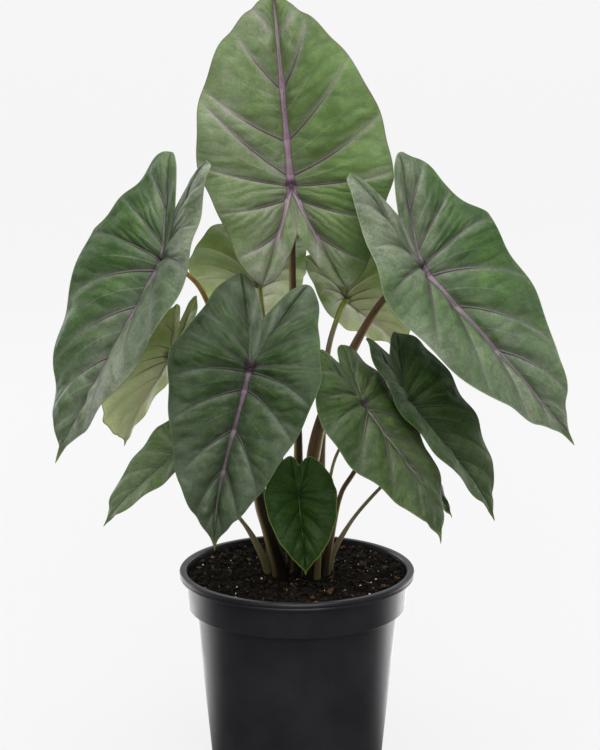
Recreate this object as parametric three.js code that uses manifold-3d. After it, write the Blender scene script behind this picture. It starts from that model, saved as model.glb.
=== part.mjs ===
// Potted alocasia with twelve arrow-shaped leaves on fleshy stalks, in a black nursery pot.
// Millimetres, +Z up. The origin is the centre of the pot's flat foot, and the front of the plant
// faces -Y.
import * as THREE from 'three';
import { mergeVertices } from 'three/addons/utils/BufferGeometryUtils.js';
import Module from 'manifold-3d';

const wasm = await Module();
wasm.setup();

// Pot, turned about the vertical axis
const POT_HEIGHT = 155;
const RIM_RADIUS = 82.5;
const RIM_INNER_RADIUS = 77.5;
const RIM_DEPTH = 5.6;
const COLLAR_TOP_RADIUS = 78;
const COLLAR_FOOT_RADIUS = 76.4;
const COLLAR_FOOT_HEIGHT = 128;
const BODY_TOP_RADIUS = 71;
const FOOT_RADIUS = 59;
const WALL = 1.8;
const FLOOR = 2.5;
const POT_SIDES = 72;

// Soil, filling the pot to a little under its rim
const SOIL_HEIGHT = 151;
const SOIL_BUMP = 0.9;
const SOIL_RINGS = 9;
const SOIL_SIDES = 48;
const GAP = 0.3;

// Leaf blades and stalks
const BLADE_THICKNESS = 0.8;
const RIB_DEPTH = 0.7;
const STALK_OVERRUN = 2.5;
const STALK_SIDES = 8;
const STALK_RINGS = 15;
const STALK_ROOT = 27;

// Half of a blade's outline from the tip round the lobe to the notch, for a blade that is one unit
// from midrib to margin. Above zero the second number is a share of the length, below zero a share of
// the lobe.
const MARGIN = [
  [0, 1], [0.05, 0.94], [0.20, 0.87], [0.50, 0.72], [0.79, 0.50], [0.96, 0.27], [1.0, 0.03],
  [0.95, -0.30], [0.83, -0.60], [0.64, -0.87], [0.44, -1.0], [0.27, -0.92], [0.12, -0.72], [0, -0.50],
];
const LOBE_END = 10;
const NOTCH = 13;
const LOBE_X = 0.44;
const LOBE_RIB_BEND = [0.13, -0.40];
const WIDEST_Y = 0.03;

// Veins: where each leaves the ribs (1 at the tip, 0 at the stalk, -1 at the lobe's end) and its place
// on the margin
const OUTER_VEINS = [
  [1, 0], [0.76, 2], [0.49, 3], [0.235, 4], [0.05, 5], [0, 6], [-0.16, 7.3], [-0.52, 8.6], [-1, LOBE_END],
];
const INNER_VEINS = [[-1, LOBE_END], [-0.52, 11.7], [-0.16, NOTCH], [0, NOTCH + 1]];
const VEIN_SWEEP = 0.1;

// How a blade is curved, as shares of its own size: how round its valley and the fold at the stalk
// are, how much of the valley's rise the part between the lobe ribs takes, the cup of each vein, the
// puff between two veins, and the waves of the margin
const VALLEY_SOFTNESS = 0.05;
const FOLD_SOFTNESS = 0.1;
const LOBE_LIFT = 0.3;
const CUP = 0.1;
const PUFF = 0.012;
const WAVE = 0.035;
const WAVES_PER_VEIN = 0.62;

// Every leaf by its landmarks: the stalk's end, the tip, the widest points of the margin and the ends
// of the two lobes. Right and left are as seen on the upper face with the tip pointing up. Then come
// the midrib's bulge, its sideways bend, the notch as a share of the lobe, how far the lobes are slimmer
// than the outline above, the same for the right and the left side of the front part, and a number that
// sets the margin's waves apart. A fine blade has one more row across.
const LEAVES = {
  crown: {
    at: [-4, 5, 424], tip: [-17, 40, 559], right: [64, -12, 436], left: [-66, -14, 441],
    rightLobe: [33, -15, 357], leftLobe: [-23, -22, 360],
    bulge: 5, bend: 0, notch: 0.48, pinch: 0.1, slim: [0, 0], seed: 1, fine: true,
    stalk: [[-3, 9, 395], [-3, 8, 358], [-1, 5, 300], [1, 2, 241], [0, 4, 190], [0, 4, SOIL_HEIGHT]],
    radii: [1.7, 2.6, 5.0],
  },
  left: {
    at: [-90, -30, 378], tip: [-160, -70, 248], right: [-142, 6, 391], left: [-71, -86, 379],
    rightLobe: [-85, 7, 447], leftLobe: [-58, -50, 447],
    bulge: 1, bend: 0, notch: 0.5, pinch: 0.16, slim: [0.08, -0.12], seed: 2, fine: true,
    stalk: [[-73, -27, 368], [-61, -18, 349], [-46, -6, 300], [-27, 3, 220], [-12, 8, SOIL_HEIGHT]],
    radii: [1.6, 2.4, 4.2],
  },
  right: {
    at: [84, -20, 372], tip: [186, -50, 256], right: [60, -75, 357], left: [132, 11, 400],
    rightLobe: [35, -26, 435], leftLobe: [69, 3, 446.5],
    bulge: 3, bend: 0, notch: 0.5, pinch: 0.16, slim: [-0.06, 0.08], seed: 3, fine: true,
    stalk: [
      [62, -18, 353], [46, -13, 329], [30, -9, 295], [15, -7, 256], [9, -5, 210], [10, -3, SOIL_HEIGHT],
    ],
    radii: [2.0, 4.6, 5.6],
  },
  front: {
    at: [-31, -55, 311], tip: [-54, -95, 195], right: [-84, -77, 322], left: [15, -86, 305],
    rightLobe: [-38, -13, 367], leftLobe: [8, -25, 361],
    bulge: 5, bend: 4, notch: 0.55, pinch: 0.10, slim: [0.14, 0.08], seed: 4, fine: true,
    stalk: [[-30, -40, 288], [-29, -28, 250], [-26, -22, 212], [-20, -18, 188], [-11, -9, SOIL_HEIGHT]],
    radii: [1.6, 3.9, 6.0],
  },
  front_right: {
    at: [45, -55, 286], tip: [95, -85, 198], right: [19, -82, 272], left: [66, -21, 284],
    rightLobe: [14, -62, 323], leftLobe: [30, -22, 319],
    bulge: 4, bend: -7, notch: 0.72, pinch: 0, slim: [0, 0], seed: 5, fine: false,
    stalk: [[38, -45, 268], [27, -33, 245], [22, -25, 222], [16, -18, 180], [14, -13, SOIL_HEIGHT]],
    radii: [1.0, 1.2, 2.8],
  },
  low_right: {
    at: [77, -15, 278], tip: [135, -35, 199], right: [70, -54, 280], left: [108, 8, 290],
    rightLobe: [47, -24, 324], leftLobe: [68, 20, 320],
    bulge: 4, bend: 0, notch: 0.7, pinch: 0, slim: [0.06, 0.06], seed: 6, fine: false,
    stalk: [[62, -9, 262], [39, -10, 226], [30, -9, 209], [23, -8, 175], [20, -7, SOIL_HEIGHT]],
    radii: [1.2, 1.9, 3.6],
  },
  small_front: {
    at: [1, -35, 218], tip: [6, -50, 165], right: [-22, -46, 220], left: [27, -39, 220],
    rightLobe: [-5, -17, 240], leftLobe: [9, -18, 240],
    bulge: 3, bend: 0, notch: 0.78, pinch: 0, slim: [0, 0], seed: 7, fine: false,
    stalk: [[2, -25, 204], [3, -17, 178], [2, -9, SOIL_HEIGHT]],
    radii: [0.9, 1.3, 2.6],
  },
  low_left: {
    at: [-80, -15, 244], tip: [-132, -35, 195], right: [-98, 1, 254], left: [-74, -40, 242],
    rightLobe: [-60, 4, 275], leftLobe: [-50, -22, 271],
    bulge: 3, bend: 0, notch: 0.5, pinch: 0, slim: [0.12, 0], seed: 8, fine: false,
    stalk: [[-63, -9, 220], [-41, -6, 194], [-30, -2, 176], [-20, 1, SOIL_HEIGHT]],
    radii: [1.0, 1.5, 3.6],
  },
  back_left: {
    at: [-90, 40, 299], tip: [-125, 60, 228], right: [-84, 72, 291], left: [-130, 33, 283],
    rightLobe: [-71, 50, 340], leftLobe: [-84, 22, 339],
    bulge: 3, bend: 0, notch: 0.6, pinch: 0, slim: [0, 0], seed: 9, fine: false,
    stalk: [[-76, 31, 283], [-52, 26, 252], [-31, 22, 220], [-22, 19, 185], [-18, 18, SOIL_HEIGHT]],
    radii: [1.2, 1.8, 3.4],
  },
  back: {
    at: [-26, 40, 350], tip: [-26, 85, 301], right: [6, 72, 357], left: [-77, 45, 362],
    rightLobe: [-3, 14, 398], leftLobe: [-42, 3, 402],
    bulge: 3, bend: 0, notch: 0.5, pinch: 0, slim: [0, 0], seed: 10, fine: false,
    stalk: [[-24, 31, 334], [-19, 25, 290], [-10, 20, 215], [-4, 20, SOIL_HEIGHT]],
    radii: [1.2, 2.0, 3.8],
  },
  back_right: {
    at: [34, 35, 340], tip: [77, 75, 296], right: [72, 55, 343], left: [25, 70, 321],
    rightLobe: [54, 28, 383], leftLobe: [6, 12, 374],
    bulge: 3, bend: 0, notch: 0.5, pinch: 0, slim: [0, 0], seed: 11, fine: false,
    stalk: [[29, 30, 330], [21, 24, 300], [18, 20, 242], [17, 16, 190], [16, 15, SOIL_HEIGHT]],
    radii: [1.8, 2.4, 3.8],
  },
  hidden_right: {
    at: [77, -5, 233], tip: [107, -20, 197], right: [70, -24, 232], left: [84, 12, 236],
    rightLobe: [62, -8, 254], leftLobe: [71, 8, 255],
    bulge: 2, bend: 0, notch: 0.5, pinch: 0, slim: [0, 0], seed: 12, fine: false,
    stalk: [[57, -1, 212], [39, 3, 189], [26, 5, 165], [23, 6, SOIL_HEIGHT]],
    radii: [0.8, 1.1, 2.8],
  },
};

// Colours of the object
const POT_LOOK = { color: 0x17171a, roughness: 0.42, metalness: 0 };
const SOIL_LOOK = { color: 0x1d1512, roughness: 0.95, metalness: 0 };
const BLADE_LOOK = { color: 0x3d5a36, roughness: 0.5, metalness: 0 };
const STALK_LOOK = { color: 0x4a3426, roughness: 0.45, metalness: 0 };

const vec = (p) => new THREE.Vector3(p[0], p[1], p[2]);
const clamp = THREE.MathUtils.clamp;

const marginCurve = new THREE.CatmullRomCurve3(
  MARGIN.map(([x, y]) => new THREE.Vector3(x, y, 0)), false, 'catmullrom', 0.5);

// Point on one side of a leaf's own outline. Past the notch it runs back to the stalk along the centre
// line.
function marginAt(leaf, m, side) {
  const p = marginCurve.getPoint(Math.min(m, NOTCH) / NOTCH);
  const inner = clamp(m - LOBE_END, 0, 3) / 3;
  let x = p.x;
  let y = p.y + inner * inner * (0.5 - leaf.notch);
  if (m < LOBE_END) x *= 1 - leaf.pinch * Math.sin(Math.PI * clamp(-y, 0, 1));
  if (y > 0) x *= 1 - leaf.slim[side > 0 ? 0 : 1] * Math.sin(Math.PI * Math.min(y, 1));
  const past = clamp(m - NOTCH, 0, 1);
  return [x * (1 - past), y * (1 - past)];
}

// Point on the ribs: the midrib for k from 1 at the tip to 0 at the stalk, then a lobe's rib to -1 at
// its end.
function ribAt(k) {
  if (k > 0) return [0, k];
  const q = -k;
  return [
    2 * q * (1 - q) * LOBE_RIB_BEND[0] + q * q * LOBE_X,
    2 * q * (1 - q) * LOBE_RIB_BEND[1] - q * q,
  ];
}

// A leaf's directions in space, worked out from its landmarks
function leafFrame(leaf) {
  const at = vec(leaf.at);
  const along = vec(leaf.tip).sub(at);
  const right = vec(leaf.right).sub(at).addScaledVector(along, -WIDEST_Y);
  const left = vec(leaf.left).sub(at).addScaledVector(along, -WIDEST_Y);
  const across = right.clone().sub(left).multiplyScalar(0.5);
  const rise = right.clone().add(left).multiplyScalar(0.5);
  const backRight = vec(leaf.rightLobe).sub(at).addScaledVector(across, -LOBE_X);
  const backLeft = vec(leaf.leftLobe).sub(at).addScaledVector(across, LOBE_X);
  return {
    at, along, across, rise, backRight, backLeft,
    up: across.clone().cross(along).normalize(),
    side: across.clone().normalize(),
    half: (right.length() + left.length()) / 2,
    length: along.length(),
    lobe: (backRight.length() + backLeft.length()) / 2,
  };
}

// How far the lobe's rib is from the centre line, at a share of the way back to the lobe's end
function lobeRibX(back) {
  const linear = -2 * LOBE_RIB_BEND[1];
  const square = 1 - linear;
  const q = (Math.sqrt(linear * linear + 4 * square * back) - linear) / (2 * square);
  return 2 * q * (1 - q) * LOBE_RIB_BEND[0] + q * q * LOBE_X;
}

// Place of a flat point in space. The blade is a valley along the midrib and the two lobe ribs, so its
// lift grows with the distance across from the nearest rib.
function placePoint(leaf, frame, x, y, lift) {
  const wide = Math.abs(x);
  const rib = lobeRibX(clamp(-y, 0, 1));
  const sharp = wide > rib ? wide - rib : LOBE_LIFT * (rib * rib - wide * wide) / (2 * rib + 1e-9);
  const valley = Math.hypot(sharp, VALLEY_SOFTNESS) - VALLEY_SOFTNESS;
  const step = clamp(0.5 + x / (2 * LOBE_X), 0, 1);
  const mix = step * step * (3 - 2 * step);
  const back3 = frame.backLeft.clone().lerp(frame.backRight, mix).multiplyScalar(-1 / frame.lobe);
  const fore3 = frame.along.clone().multiplyScalar(1 / frame.length);
  const run = y > 0 ? y * frame.length : y * frame.lobe;
  const soft = FOLD_SOFTNESS * frame.length;
  const turn = Math.abs(run) < soft ? (run * run + soft * soft) / (2 * soft) : Math.abs(run);
  const fore = clamp(y, 0, 1);
  const hump = 6.75 * fore * fore * (1 - fore);
  return frame.at.clone()
    .addScaledVector(frame.across, x)
    .addScaledVector(frame.rise, valley)
    .addScaledVector(fore3, (run + turn) / 2)
    .addScaledVector(back3, (run - turn) / 2)
    .addScaledVector(frame.up, leaf.bulge * hump + lift)
    .addScaledVector(frame.side, leaf.bend * hump);
}

// One of a blade's four sheets as rows of points along its veins, from the rib (share 0) to the margin
// (share 1). The last number of each vein's lift is the wave that the outer and the inner sheet share
// at the lobe's end.
function bladeSheet(leaf, frame, veins, side, shares) {
  const outer = veins === OUTER_VEINS;
  const count = veins.length - 1;
  const size = [frame.half, (frame.length + frame.lobe) / 2];
  const phase = leaf.seed * 1.7 + (side < 0 ? 2.1 : 0);
  const rows = [];
  for (let i = 0; i <= 2 * count; i++) {
    const u = i / 2;
    const j = Math.min(Math.floor(u), count - 1);
    const k = THREE.MathUtils.lerp(veins[j][0], veins[j + 1][0], u - j);
    const m = THREE.MathUtils.lerp(veins[j][1], veins[j + 1][1], u - j);
    const [kx, ky] = ribAt(k);
    const [mx, my] = marginAt(leaf, m, side);
    const dx = (mx - kx) * size[0];
    const dy = (my - ky) * size[1];
    const sweep = outer ? VEIN_SWEEP : 0;
    const cx = (kx + mx) / 2 + dy * sweep / size[0];
    const cy = (ky + my) / 2 - dx * sweep / size[1];
    const between = u - Math.floor(u);
    const puff = PUFF * frame.half * 4 * between * (1 - between);
    const fade = outer ? 1 : clamp(1 - u / 2, 0, 1);
    const waveAt = outer ? u : OUTER_VEINS.length - 1;
    const turns = WAVES_PER_VEIN * waveAt;
    const wave = WAVE * frame.half * Math.sin(2 * Math.PI * turns + phase) * Math.min(1.5 * waveAt, 1);
    rows.push(shares.map((t) => {
      const x = (1 - t) * (1 - t) * kx + 2 * t * (1 - t) * cx + t * t * mx;
      const y = (1 - t) * (1 - t) * ky + 2 * t * (1 - t) * cy + t * t * my;
      const cup = CUP * Math.hypot(dx, dy) * 4 * t * (1 - t);
      const lift = fade * (wave * t * t + puff * Math.sin(Math.PI * t ** 0.8) + cup);
      return placePoint(leaf, frame, side * x, y, lift);
    }));
  }
  return rows;
}

// The blade's middle surface as merged triangles that face the upper side, with each vertex's depth
// below it
function bladeSurface(leaf, frame) {
  const shares = leaf.fine ? [0, 0.08, 0.36, 0.7, 1] : [0, 0.1, 0.5, 1];
  const positions = [];
  const ribs = [];
  for (const side of [1, -1]) {
    for (const veins of [OUTER_VEINS, INNER_VEINS]) {
      const rows = bladeSheet(leaf, frame, veins, side, shares);
      for (const row of rows) ribs.push(row[0]);
      for (let i = 0; i + 1 < rows.length; i++) {
        for (let j = 0; j + 1 < shares.length; j++) {
          const [a, b, c, d] = [rows[i][j], rows[i][j + 1], rows[i + 1][j + 1], rows[i + 1][j]];
          const corners = side > 0 ? [a, c, b, a, d, c] : [a, b, c, a, c, d];
          for (const p of corners) positions.push(p.x, p.y, p.z);
        }
      }
    }
  }
  const loose = new THREE.BufferGeometry();
  loose.setAttribute('position', new THREE.Float32BufferAttribute(positions, 3));
  const surface = mergeVertices(loose, 0.01);
  const index = surface.getIndex().array;
  const kept = [];
  for (let i = 0; i < index.length; i += 3) {
    const [a, b, c] = [index[i], index[i + 1], index[i + 2]];
    if (a !== b && b !== c && c !== a) kept.push(a, b, c);
  }
  surface.setIndex(kept);
  surface.computeVertexNormals();
  const place = surface.getAttribute('position');
  const onRib = [];
  for (let i = 0; i < place.count; i++) {
    const p = new THREE.Vector3().fromBufferAttribute(place, i);
    onRib.push(ribs.some((rib) => rib.distanceTo(p) < 0.02));
  }
  return { surface, onRib };
}

// A closed blade: the surface moved up and down by half the thickness, walled along its margin. The
// ribs stand out below. A larger spare makes the fatter blade that its stalk is cut with.
function bladeSolid(leaf, frame, spare = 0) {
  const { surface, onRib } = bladeSurface(leaf, frame);
  const place = surface.getAttribute('position');
  const normal = surface.getAttribute('normal');
  const count = place.count;
  const points = new Float32Array(count * 6);
  for (let i = 0; i < count; i++) {
    const p = new THREE.Vector3().fromBufferAttribute(place, i);
    const n = new THREE.Vector3().fromBufferAttribute(normal, i);
    const rise = BLADE_THICKNESS / 2 + spare;
    const drop = rise + (onRib[i] ? RIB_DEPTH : 0);
    p.clone().addScaledVector(n, rise).toArray(points, i * 3);
    p.clone().addScaledVector(n, -drop).toArray(points, (count + i) * 3);
  }
  const index = surface.getIndex().array;
  const faces = [];
  const edges = new Set();
  for (let i = 0; i < index.length; i += 3) {
    const [a, b, c] = [index[i], index[i + 1], index[i + 2]];
    faces.push(a, b, c, count + a, count + c, count + b);
    edges.add(`${a} ${b}`).add(`${b} ${c}`).add(`${c} ${a}`);
  }
  for (const edge of edges) {
    const [a, b] = edge.split(' ').map(Number);
    if (!edges.has(`${b} ${a}`)) faces.push(b, a, count + a, b, count + a, count + b);
  }
  const solid = new THREE.BufferGeometry();
  solid.setAttribute('position', new THREE.BufferAttribute(points, 3));
  solid.setIndex(faces);
  return solid;
}

// A stalk as a closed tapering tube from just above its blade down into the soil. It swells to a
// sheath at the soil.
function stalkSolid(leaf, frame, spare = 0) {
  const top = placePoint(leaf, frame, 0, 0, 0);
  const points = [top, ...leaf.stalk.map(vec)];
  const foot = points[points.length - 1].clone();
  foot.z -= STALK_ROOT;
  points.push(foot);
  const curve = new THREE.CatmullRomCurve3(points, false, 'catmullrom', 0.5);
  const centres = [];
  for (let i = 0; i < STALK_RINGS; i++) centres.push(curve.getPoint(i / (STALK_RINGS - 1)));
  const out = centres[0].clone().sub(centres[1]).normalize();
  centres[0].addScaledVector(out, STALK_OVERRUN);
  centres[STALK_RINGS - 1].z -= spare;
  const [rTop, rMiddle, rSoil] = leaf.radii;
  const positions = [];
  const forward = new THREE.Vector3(0, 1, 0);
  centres.forEach((centre, i) => {
    const before = centres[Math.max(i - 1, 0)];
    const after = centres[Math.min(i + 1, STALK_RINGS - 1)];
    const run = after.clone().sub(before).normalize();
    const u = run.clone().cross(forward).normalize();
    const v = run.clone().cross(u);
    const h = clamp((centre.z - SOIL_HEIGHT) / (top.z - SOIL_HEIGHT), 0, 1);
    let radius = THREE.MathUtils.mapLinear(h, 0.4, 1, rMiddle, rTop);
    if (h < 0.4) radius = THREE.MathUtils.mapLinear(h, 0.12, 0.4, rSoil * 0.8, rMiddle);
    if (h < 0.12) radius = THREE.MathUtils.mapLinear(h, 0, 0.12, rSoil, rSoil * 0.8);
    for (let s = 0; s < STALK_SIDES; s++) {
      const angle = 2 * Math.PI * s / STALK_SIDES;
      const p = centre.clone()
        .addScaledVector(u, (radius + spare) * Math.cos(angle))
        .addScaledVector(v, (radius + spare) * Math.sin(angle));
      positions.push(p.x, p.y, p.z);
    }
  });
  const faces = [];
  for (let i = 0; i + 1 < STALK_RINGS; i++) {
    for (let s = 0; s < STALK_SIDES; s++) {
      const a = i * STALK_SIDES + s;
      const b = i * STALK_SIDES + (s + 1) % STALK_SIDES;
      faces.push(a, b, b + STALK_SIDES, a, b + STALK_SIDES, a + STALK_SIDES);
    }
  }
  const last = (STALK_RINGS - 1) * STALK_SIDES;
  for (let s = 1; s + 1 < STALK_SIDES; s++) {
    faces.push(0, s + 1, s, last, last + s, last + s + 1);
  }
  const solid = new THREE.BufferGeometry();
  solid.setAttribute('position', new THREE.Float32BufferAttribute(positions, 3));
  solid.setIndex(faces);
  return solid;
}

// A solid for cutting, from a closed geometry, and back again
function toSolid(geometry) {
  const bare = geometry.clone();
  bare.deleteAttribute('normal');
  bare.deleteAttribute('uv');
  const merged = mergeVertices(bare, 1e-4);
  return new wasm.Manifold(new wasm.Mesh({
    numProp: 3,
    vertProperties: new Float32Array(merged.getAttribute('position').array),
    triVerts: new Uint32Array(merged.getIndex().array),
  }));
}

function toGeometry(solid) {
  const mesh = solid.getMesh();
  const geometry = new THREE.BufferGeometry();
  geometry.setAttribute('position', new THREE.BufferAttribute(new Float32Array(mesh.vertProperties), 3));
  geometry.setIndex(Array.from(mesh.triVerts));
  return geometry;
}

// The pot's wall: outside from the foot to the rim, then the inside back down. The rim is a double bead.
function potSolid() {
  const rimFoot = POT_HEIGHT - RIM_DEPTH;
  const profile = [
    [0, 0], [FOOT_RADIUS - 1, 0], [FOOT_RADIUS, 1],
    [BODY_TOP_RADIUS, COLLAR_FOOT_HEIGHT - 0.5], [COLLAR_FOOT_RADIUS - 0.6, COLLAR_FOOT_HEIGHT],
    [COLLAR_FOOT_RADIUS, COLLAR_FOOT_HEIGHT + 0.8], [COLLAR_TOP_RADIUS, rimFoot],
    [RIM_RADIUS - 0.9, rimFoot], [RIM_RADIUS - 0.3, rimFoot + 0.7], [RIM_RADIUS - 0.3, rimFoot + 1.7],
    [RIM_RADIUS - 0.9, rimFoot + 2.4], [RIM_RADIUS, rimFoot + 3.2], [RIM_RADIUS, POT_HEIGHT - 1.0],
    [RIM_RADIUS - 0.9, POT_HEIGHT],
    [RIM_INNER_RADIUS + 0.6, POT_HEIGHT], [RIM_INNER_RADIUS, POT_HEIGHT - 0.8],
    [COLLAR_TOP_RADIUS - WALL, rimFoot - 1.5], [COLLAR_FOOT_RADIUS - WALL, COLLAR_FOOT_HEIGHT + 1],
    [BODY_TOP_RADIUS - WALL, COLLAR_FOOT_HEIGHT - 1.5], [FOOT_RADIUS - WALL + 0.3, FLOOR + 1],
    [FOOT_RADIUS - 3, FLOOR], [0, FLOOR],
  ];
  const outline = profile.map(([r, z]) => new THREE.Vector2(r, z));
  return new THREE.LatheGeometry(outline, POT_SIDES).rotateX(Math.PI / 2);
}

// Height of the soil's lumpy top
function soilTop(x, y) {
  const edge = Math.hypot(x, y) / RIM_INNER_RADIUS;
  return SOIL_HEIGHT - 1.2 * edge ** 4 + SOIL_BUMP * (
    0.5 * Math.sin(x * 0.21 + 1.3) * Math.cos(y * 0.26) + 0.35 * Math.sin(x * 0.43 - y * 0.37)
    + 0.25 * Math.cos(x * 0.11 + y * 0.62));
}

// Radius of the pot's inside, less the gap, at a height
function soilRadius(z) {
  if (z > COLLAR_FOOT_HEIGHT + 1) {
    return THREE.MathUtils.mapLinear(z, COLLAR_FOOT_HEIGHT + 1, POT_HEIGHT - RIM_DEPTH - 1.5,
      COLLAR_FOOT_RADIUS - WALL, COLLAR_TOP_RADIUS - WALL) - GAP;
  }
  return THREE.MathUtils.mapLinear(z, FLOOR + 1, COLLAR_FOOT_HEIGHT - 1.5,
    FOOT_RADIUS - WALL + 0.3, BODY_TOP_RADIUS - WALL) - GAP;
}

// The soil as one closed body: a lumpy top, the tapering side inside the pot and a flat underside
function soilSolid() {
  const collar = COLLAR_FOOT_HEIGHT + GAP;
  const heights = [SOIL_HEIGHT - 4, collar + 1, collar - 1.5, FLOOR + 1 + GAP];
  const rimRadius = soilRadius(SOIL_HEIGHT);
  const rings = [];
  for (let i = 1; i <= SOIL_RINGS; i++) rings.push({ r: rimRadius * i / SOIL_RINGS, z: null });
  for (const z of heights) rings.push({ r: soilRadius(z) - 0.1, z });
  rings.push({ r: FOOT_RADIUS - 3 - GAP, z: FLOOR + GAP });
  const positions = [0, 0, soilTop(0, 0)];
  for (const ring of rings) {
    for (let s = 0; s < SOIL_SIDES; s++) {
      const angle = 2 * Math.PI * s / SOIL_SIDES;
      const x = ring.r * Math.cos(angle);
      const y = ring.r * Math.sin(angle);
      positions.push(x, y, ring.z ?? soilTop(x, y));
    }
  }
  const foot = positions.length / 3;
  positions.push(0, 0, FLOOR + GAP);
  const faces = [];
  for (let s = 0; s < SOIL_SIDES; s++) {
    const t = (s + 1) % SOIL_SIDES;
    faces.push(0, 1 + s, 1 + t);
    for (let i = 0; i + 1 < rings.length; i++) {
      const a = 1 + i * SOIL_SIDES;
      const b = a + SOIL_SIDES;
      faces.push(a + s, b + s, b + t, a + s, b + t, a + t);
    }
    const last = 1 + (rings.length - 1) * SOIL_SIDES;
    faces.push(foot, last + t, last + s);
  }
  const solid = new THREE.BufferGeometry();
  solid.setAttribute('position', new THREE.Float32BufferAttribute(positions, 3));
  solid.setIndex(faces);
  return solid;
}

// The piece of a cut stalk that stands in the soil
function lowestPiece(solid) {
  const pieces = solid.decompose();
  return pieces.reduce((low, piece) => (piece.boundingBox().min[2] < low.boundingBox().min[2] ? piece : low));
}

const plant = new THREE.Group();

function addPiece(name, geometry, look) {
  geometry.computeVertexNormals();
  const mesh = new THREE.Mesh(geometry, new THREE.MeshStandardMaterial(look));
  mesh.name = name;
  plant.add(mesh);
}

addPiece('pot', potSolid(), POT_LOOK);

let soil = toSolid(soilSolid());
for (const [name, leaf] of Object.entries(LEAVES)) {
  const frame = leafFrame(leaf);
  const cutter = toSolid(bladeSolid(leaf, frame, GAP));
  const stalk = lowestPiece(toSolid(stalkSolid(leaf, frame)).subtract(cutter));
  soil = soil.subtract(toSolid(stalkSolid(leaf, frame, GAP)));
  addPiece(`blade_${name}`, bladeSolid(leaf, frame), BLADE_LOOK);
  addPiece(`stalk_${name}`, toGeometry(stalk), STALK_LOOK);
}
addPiece('soil', toGeometry(soil), SOIL_LOOK);

export default plant;
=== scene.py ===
# %% [markdown]
# # A potted alocasia
#
# This lesson dresses a house plant: twelve arrow-shaped leaves with purple veins, on fleshy stalks, in a
# black nursery pot of potting mix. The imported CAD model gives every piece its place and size, in metres.
# Each step here makes the fine surface of one piece, gives it a finish, and puts it where its CAD solid
# stands.

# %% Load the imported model
import math
import bpy
import numpy as np
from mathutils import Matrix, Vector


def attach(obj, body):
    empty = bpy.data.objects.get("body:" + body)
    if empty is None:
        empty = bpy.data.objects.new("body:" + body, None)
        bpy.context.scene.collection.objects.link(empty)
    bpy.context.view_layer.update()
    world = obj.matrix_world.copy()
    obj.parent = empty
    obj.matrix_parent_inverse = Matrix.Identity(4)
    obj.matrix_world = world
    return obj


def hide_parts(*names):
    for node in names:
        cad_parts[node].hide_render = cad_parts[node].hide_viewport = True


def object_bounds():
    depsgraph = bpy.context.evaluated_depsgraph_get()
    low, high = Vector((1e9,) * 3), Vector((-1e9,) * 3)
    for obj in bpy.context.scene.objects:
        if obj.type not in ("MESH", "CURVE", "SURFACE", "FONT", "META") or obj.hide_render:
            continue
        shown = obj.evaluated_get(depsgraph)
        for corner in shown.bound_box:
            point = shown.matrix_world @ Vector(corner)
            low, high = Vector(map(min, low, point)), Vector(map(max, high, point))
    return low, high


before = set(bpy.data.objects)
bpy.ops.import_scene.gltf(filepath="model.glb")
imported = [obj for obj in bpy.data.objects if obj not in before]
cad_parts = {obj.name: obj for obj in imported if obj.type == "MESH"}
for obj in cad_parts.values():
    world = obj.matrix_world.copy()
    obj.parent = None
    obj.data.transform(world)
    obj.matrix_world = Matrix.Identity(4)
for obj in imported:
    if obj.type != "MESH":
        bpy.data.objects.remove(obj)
cad_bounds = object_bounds()
MM = 0.001
print("CAD nodes:", len(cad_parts))

# %% [markdown]
# ## The camera
#
# The plant is seen from the front, from a little above the middle leaves, with a long lens that flattens
# the depth. A camera could be placed by hand until it looks right, but a lens, a distance and a tilt that
# are worked out from the pot's rim and the leaf tips hold for every piece at once.

# %% Camera
CAMERA_PLACE = (0.00218, -1.400, 0.5936)
CAMERA_TILT_DOWN = 12.1
SENSOR = 36.0
FOCAL_PIXELS = 2075.6
PICTURE_HEIGHT = 750
VIEW_DEPTH = 100.0


def make_camera():
    """A camera that looks along +Y and down by the tilt. Its lens is sensor * focal pixels / picture height,
    in millimetres."""
    lens = bpy.data.cameras.new("camera")
    lens.sensor_fit = "VERTICAL"
    lens.sensor_height = SENSOR
    lens.lens = SENSOR * FOCAL_PIXELS / PICTURE_HEIGHT
    lens.clip_end = VIEW_DEPTH
    camera = bpy.data.objects.new("camera", lens)
    camera.location = CAMERA_PLACE
    camera.rotation_euler = (math.radians(90 - CAMERA_TILT_DOWN), 0, 0)
    bpy.context.scene.collection.objects.link(camera)
    bpy.context.scene.camera = camera
    return camera


print("lens in mm:", round(make_camera().data.lens, 1))

# %% [markdown]
# ## Small tools for meshes
#
# Every surface below is worked out as whole arrays of points in millimetres, then handed to Blender in one
# go. One tool turns points and faces into an object, another makes the soft, repeatable unevenness that
# living things need, and two small ones give smooth steps and smooth paths. A noise texture with a modifier
# could do the second job, but a sum of sine waves can be added to any array and gives the same plant every
# time.

# %% Mesh tools
def make_object(name, points, faces, materials, attributes=None, face_material=None):
    """A smooth-shaded mesh object from points in millimetres and rows of corner numbers."""
    mesh = bpy.data.meshes.new(name)
    mesh.from_pydata(np.asarray(points) * MM, [], np.asarray(faces))
    mesh.polygons.foreach_set("use_smooth", np.ones(len(mesh.polygons), bool))
    for material in materials:
        mesh.materials.append(material)
    if face_material is not None:
        mesh.polygons.foreach_set("material_index", np.asarray(face_material, np.int32))
    for label, values in (attributes or {}).items():
        layer = mesh.attributes.new(label, "FLOAT", "POINT")
        layer.data.foreach_set("value", np.asarray(values, np.float32).ravel())
    mesh.update()
    piece = bpy.data.objects.new(name, mesh)
    bpy.context.scene.collection.objects.link(piece)
    return piece


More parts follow.
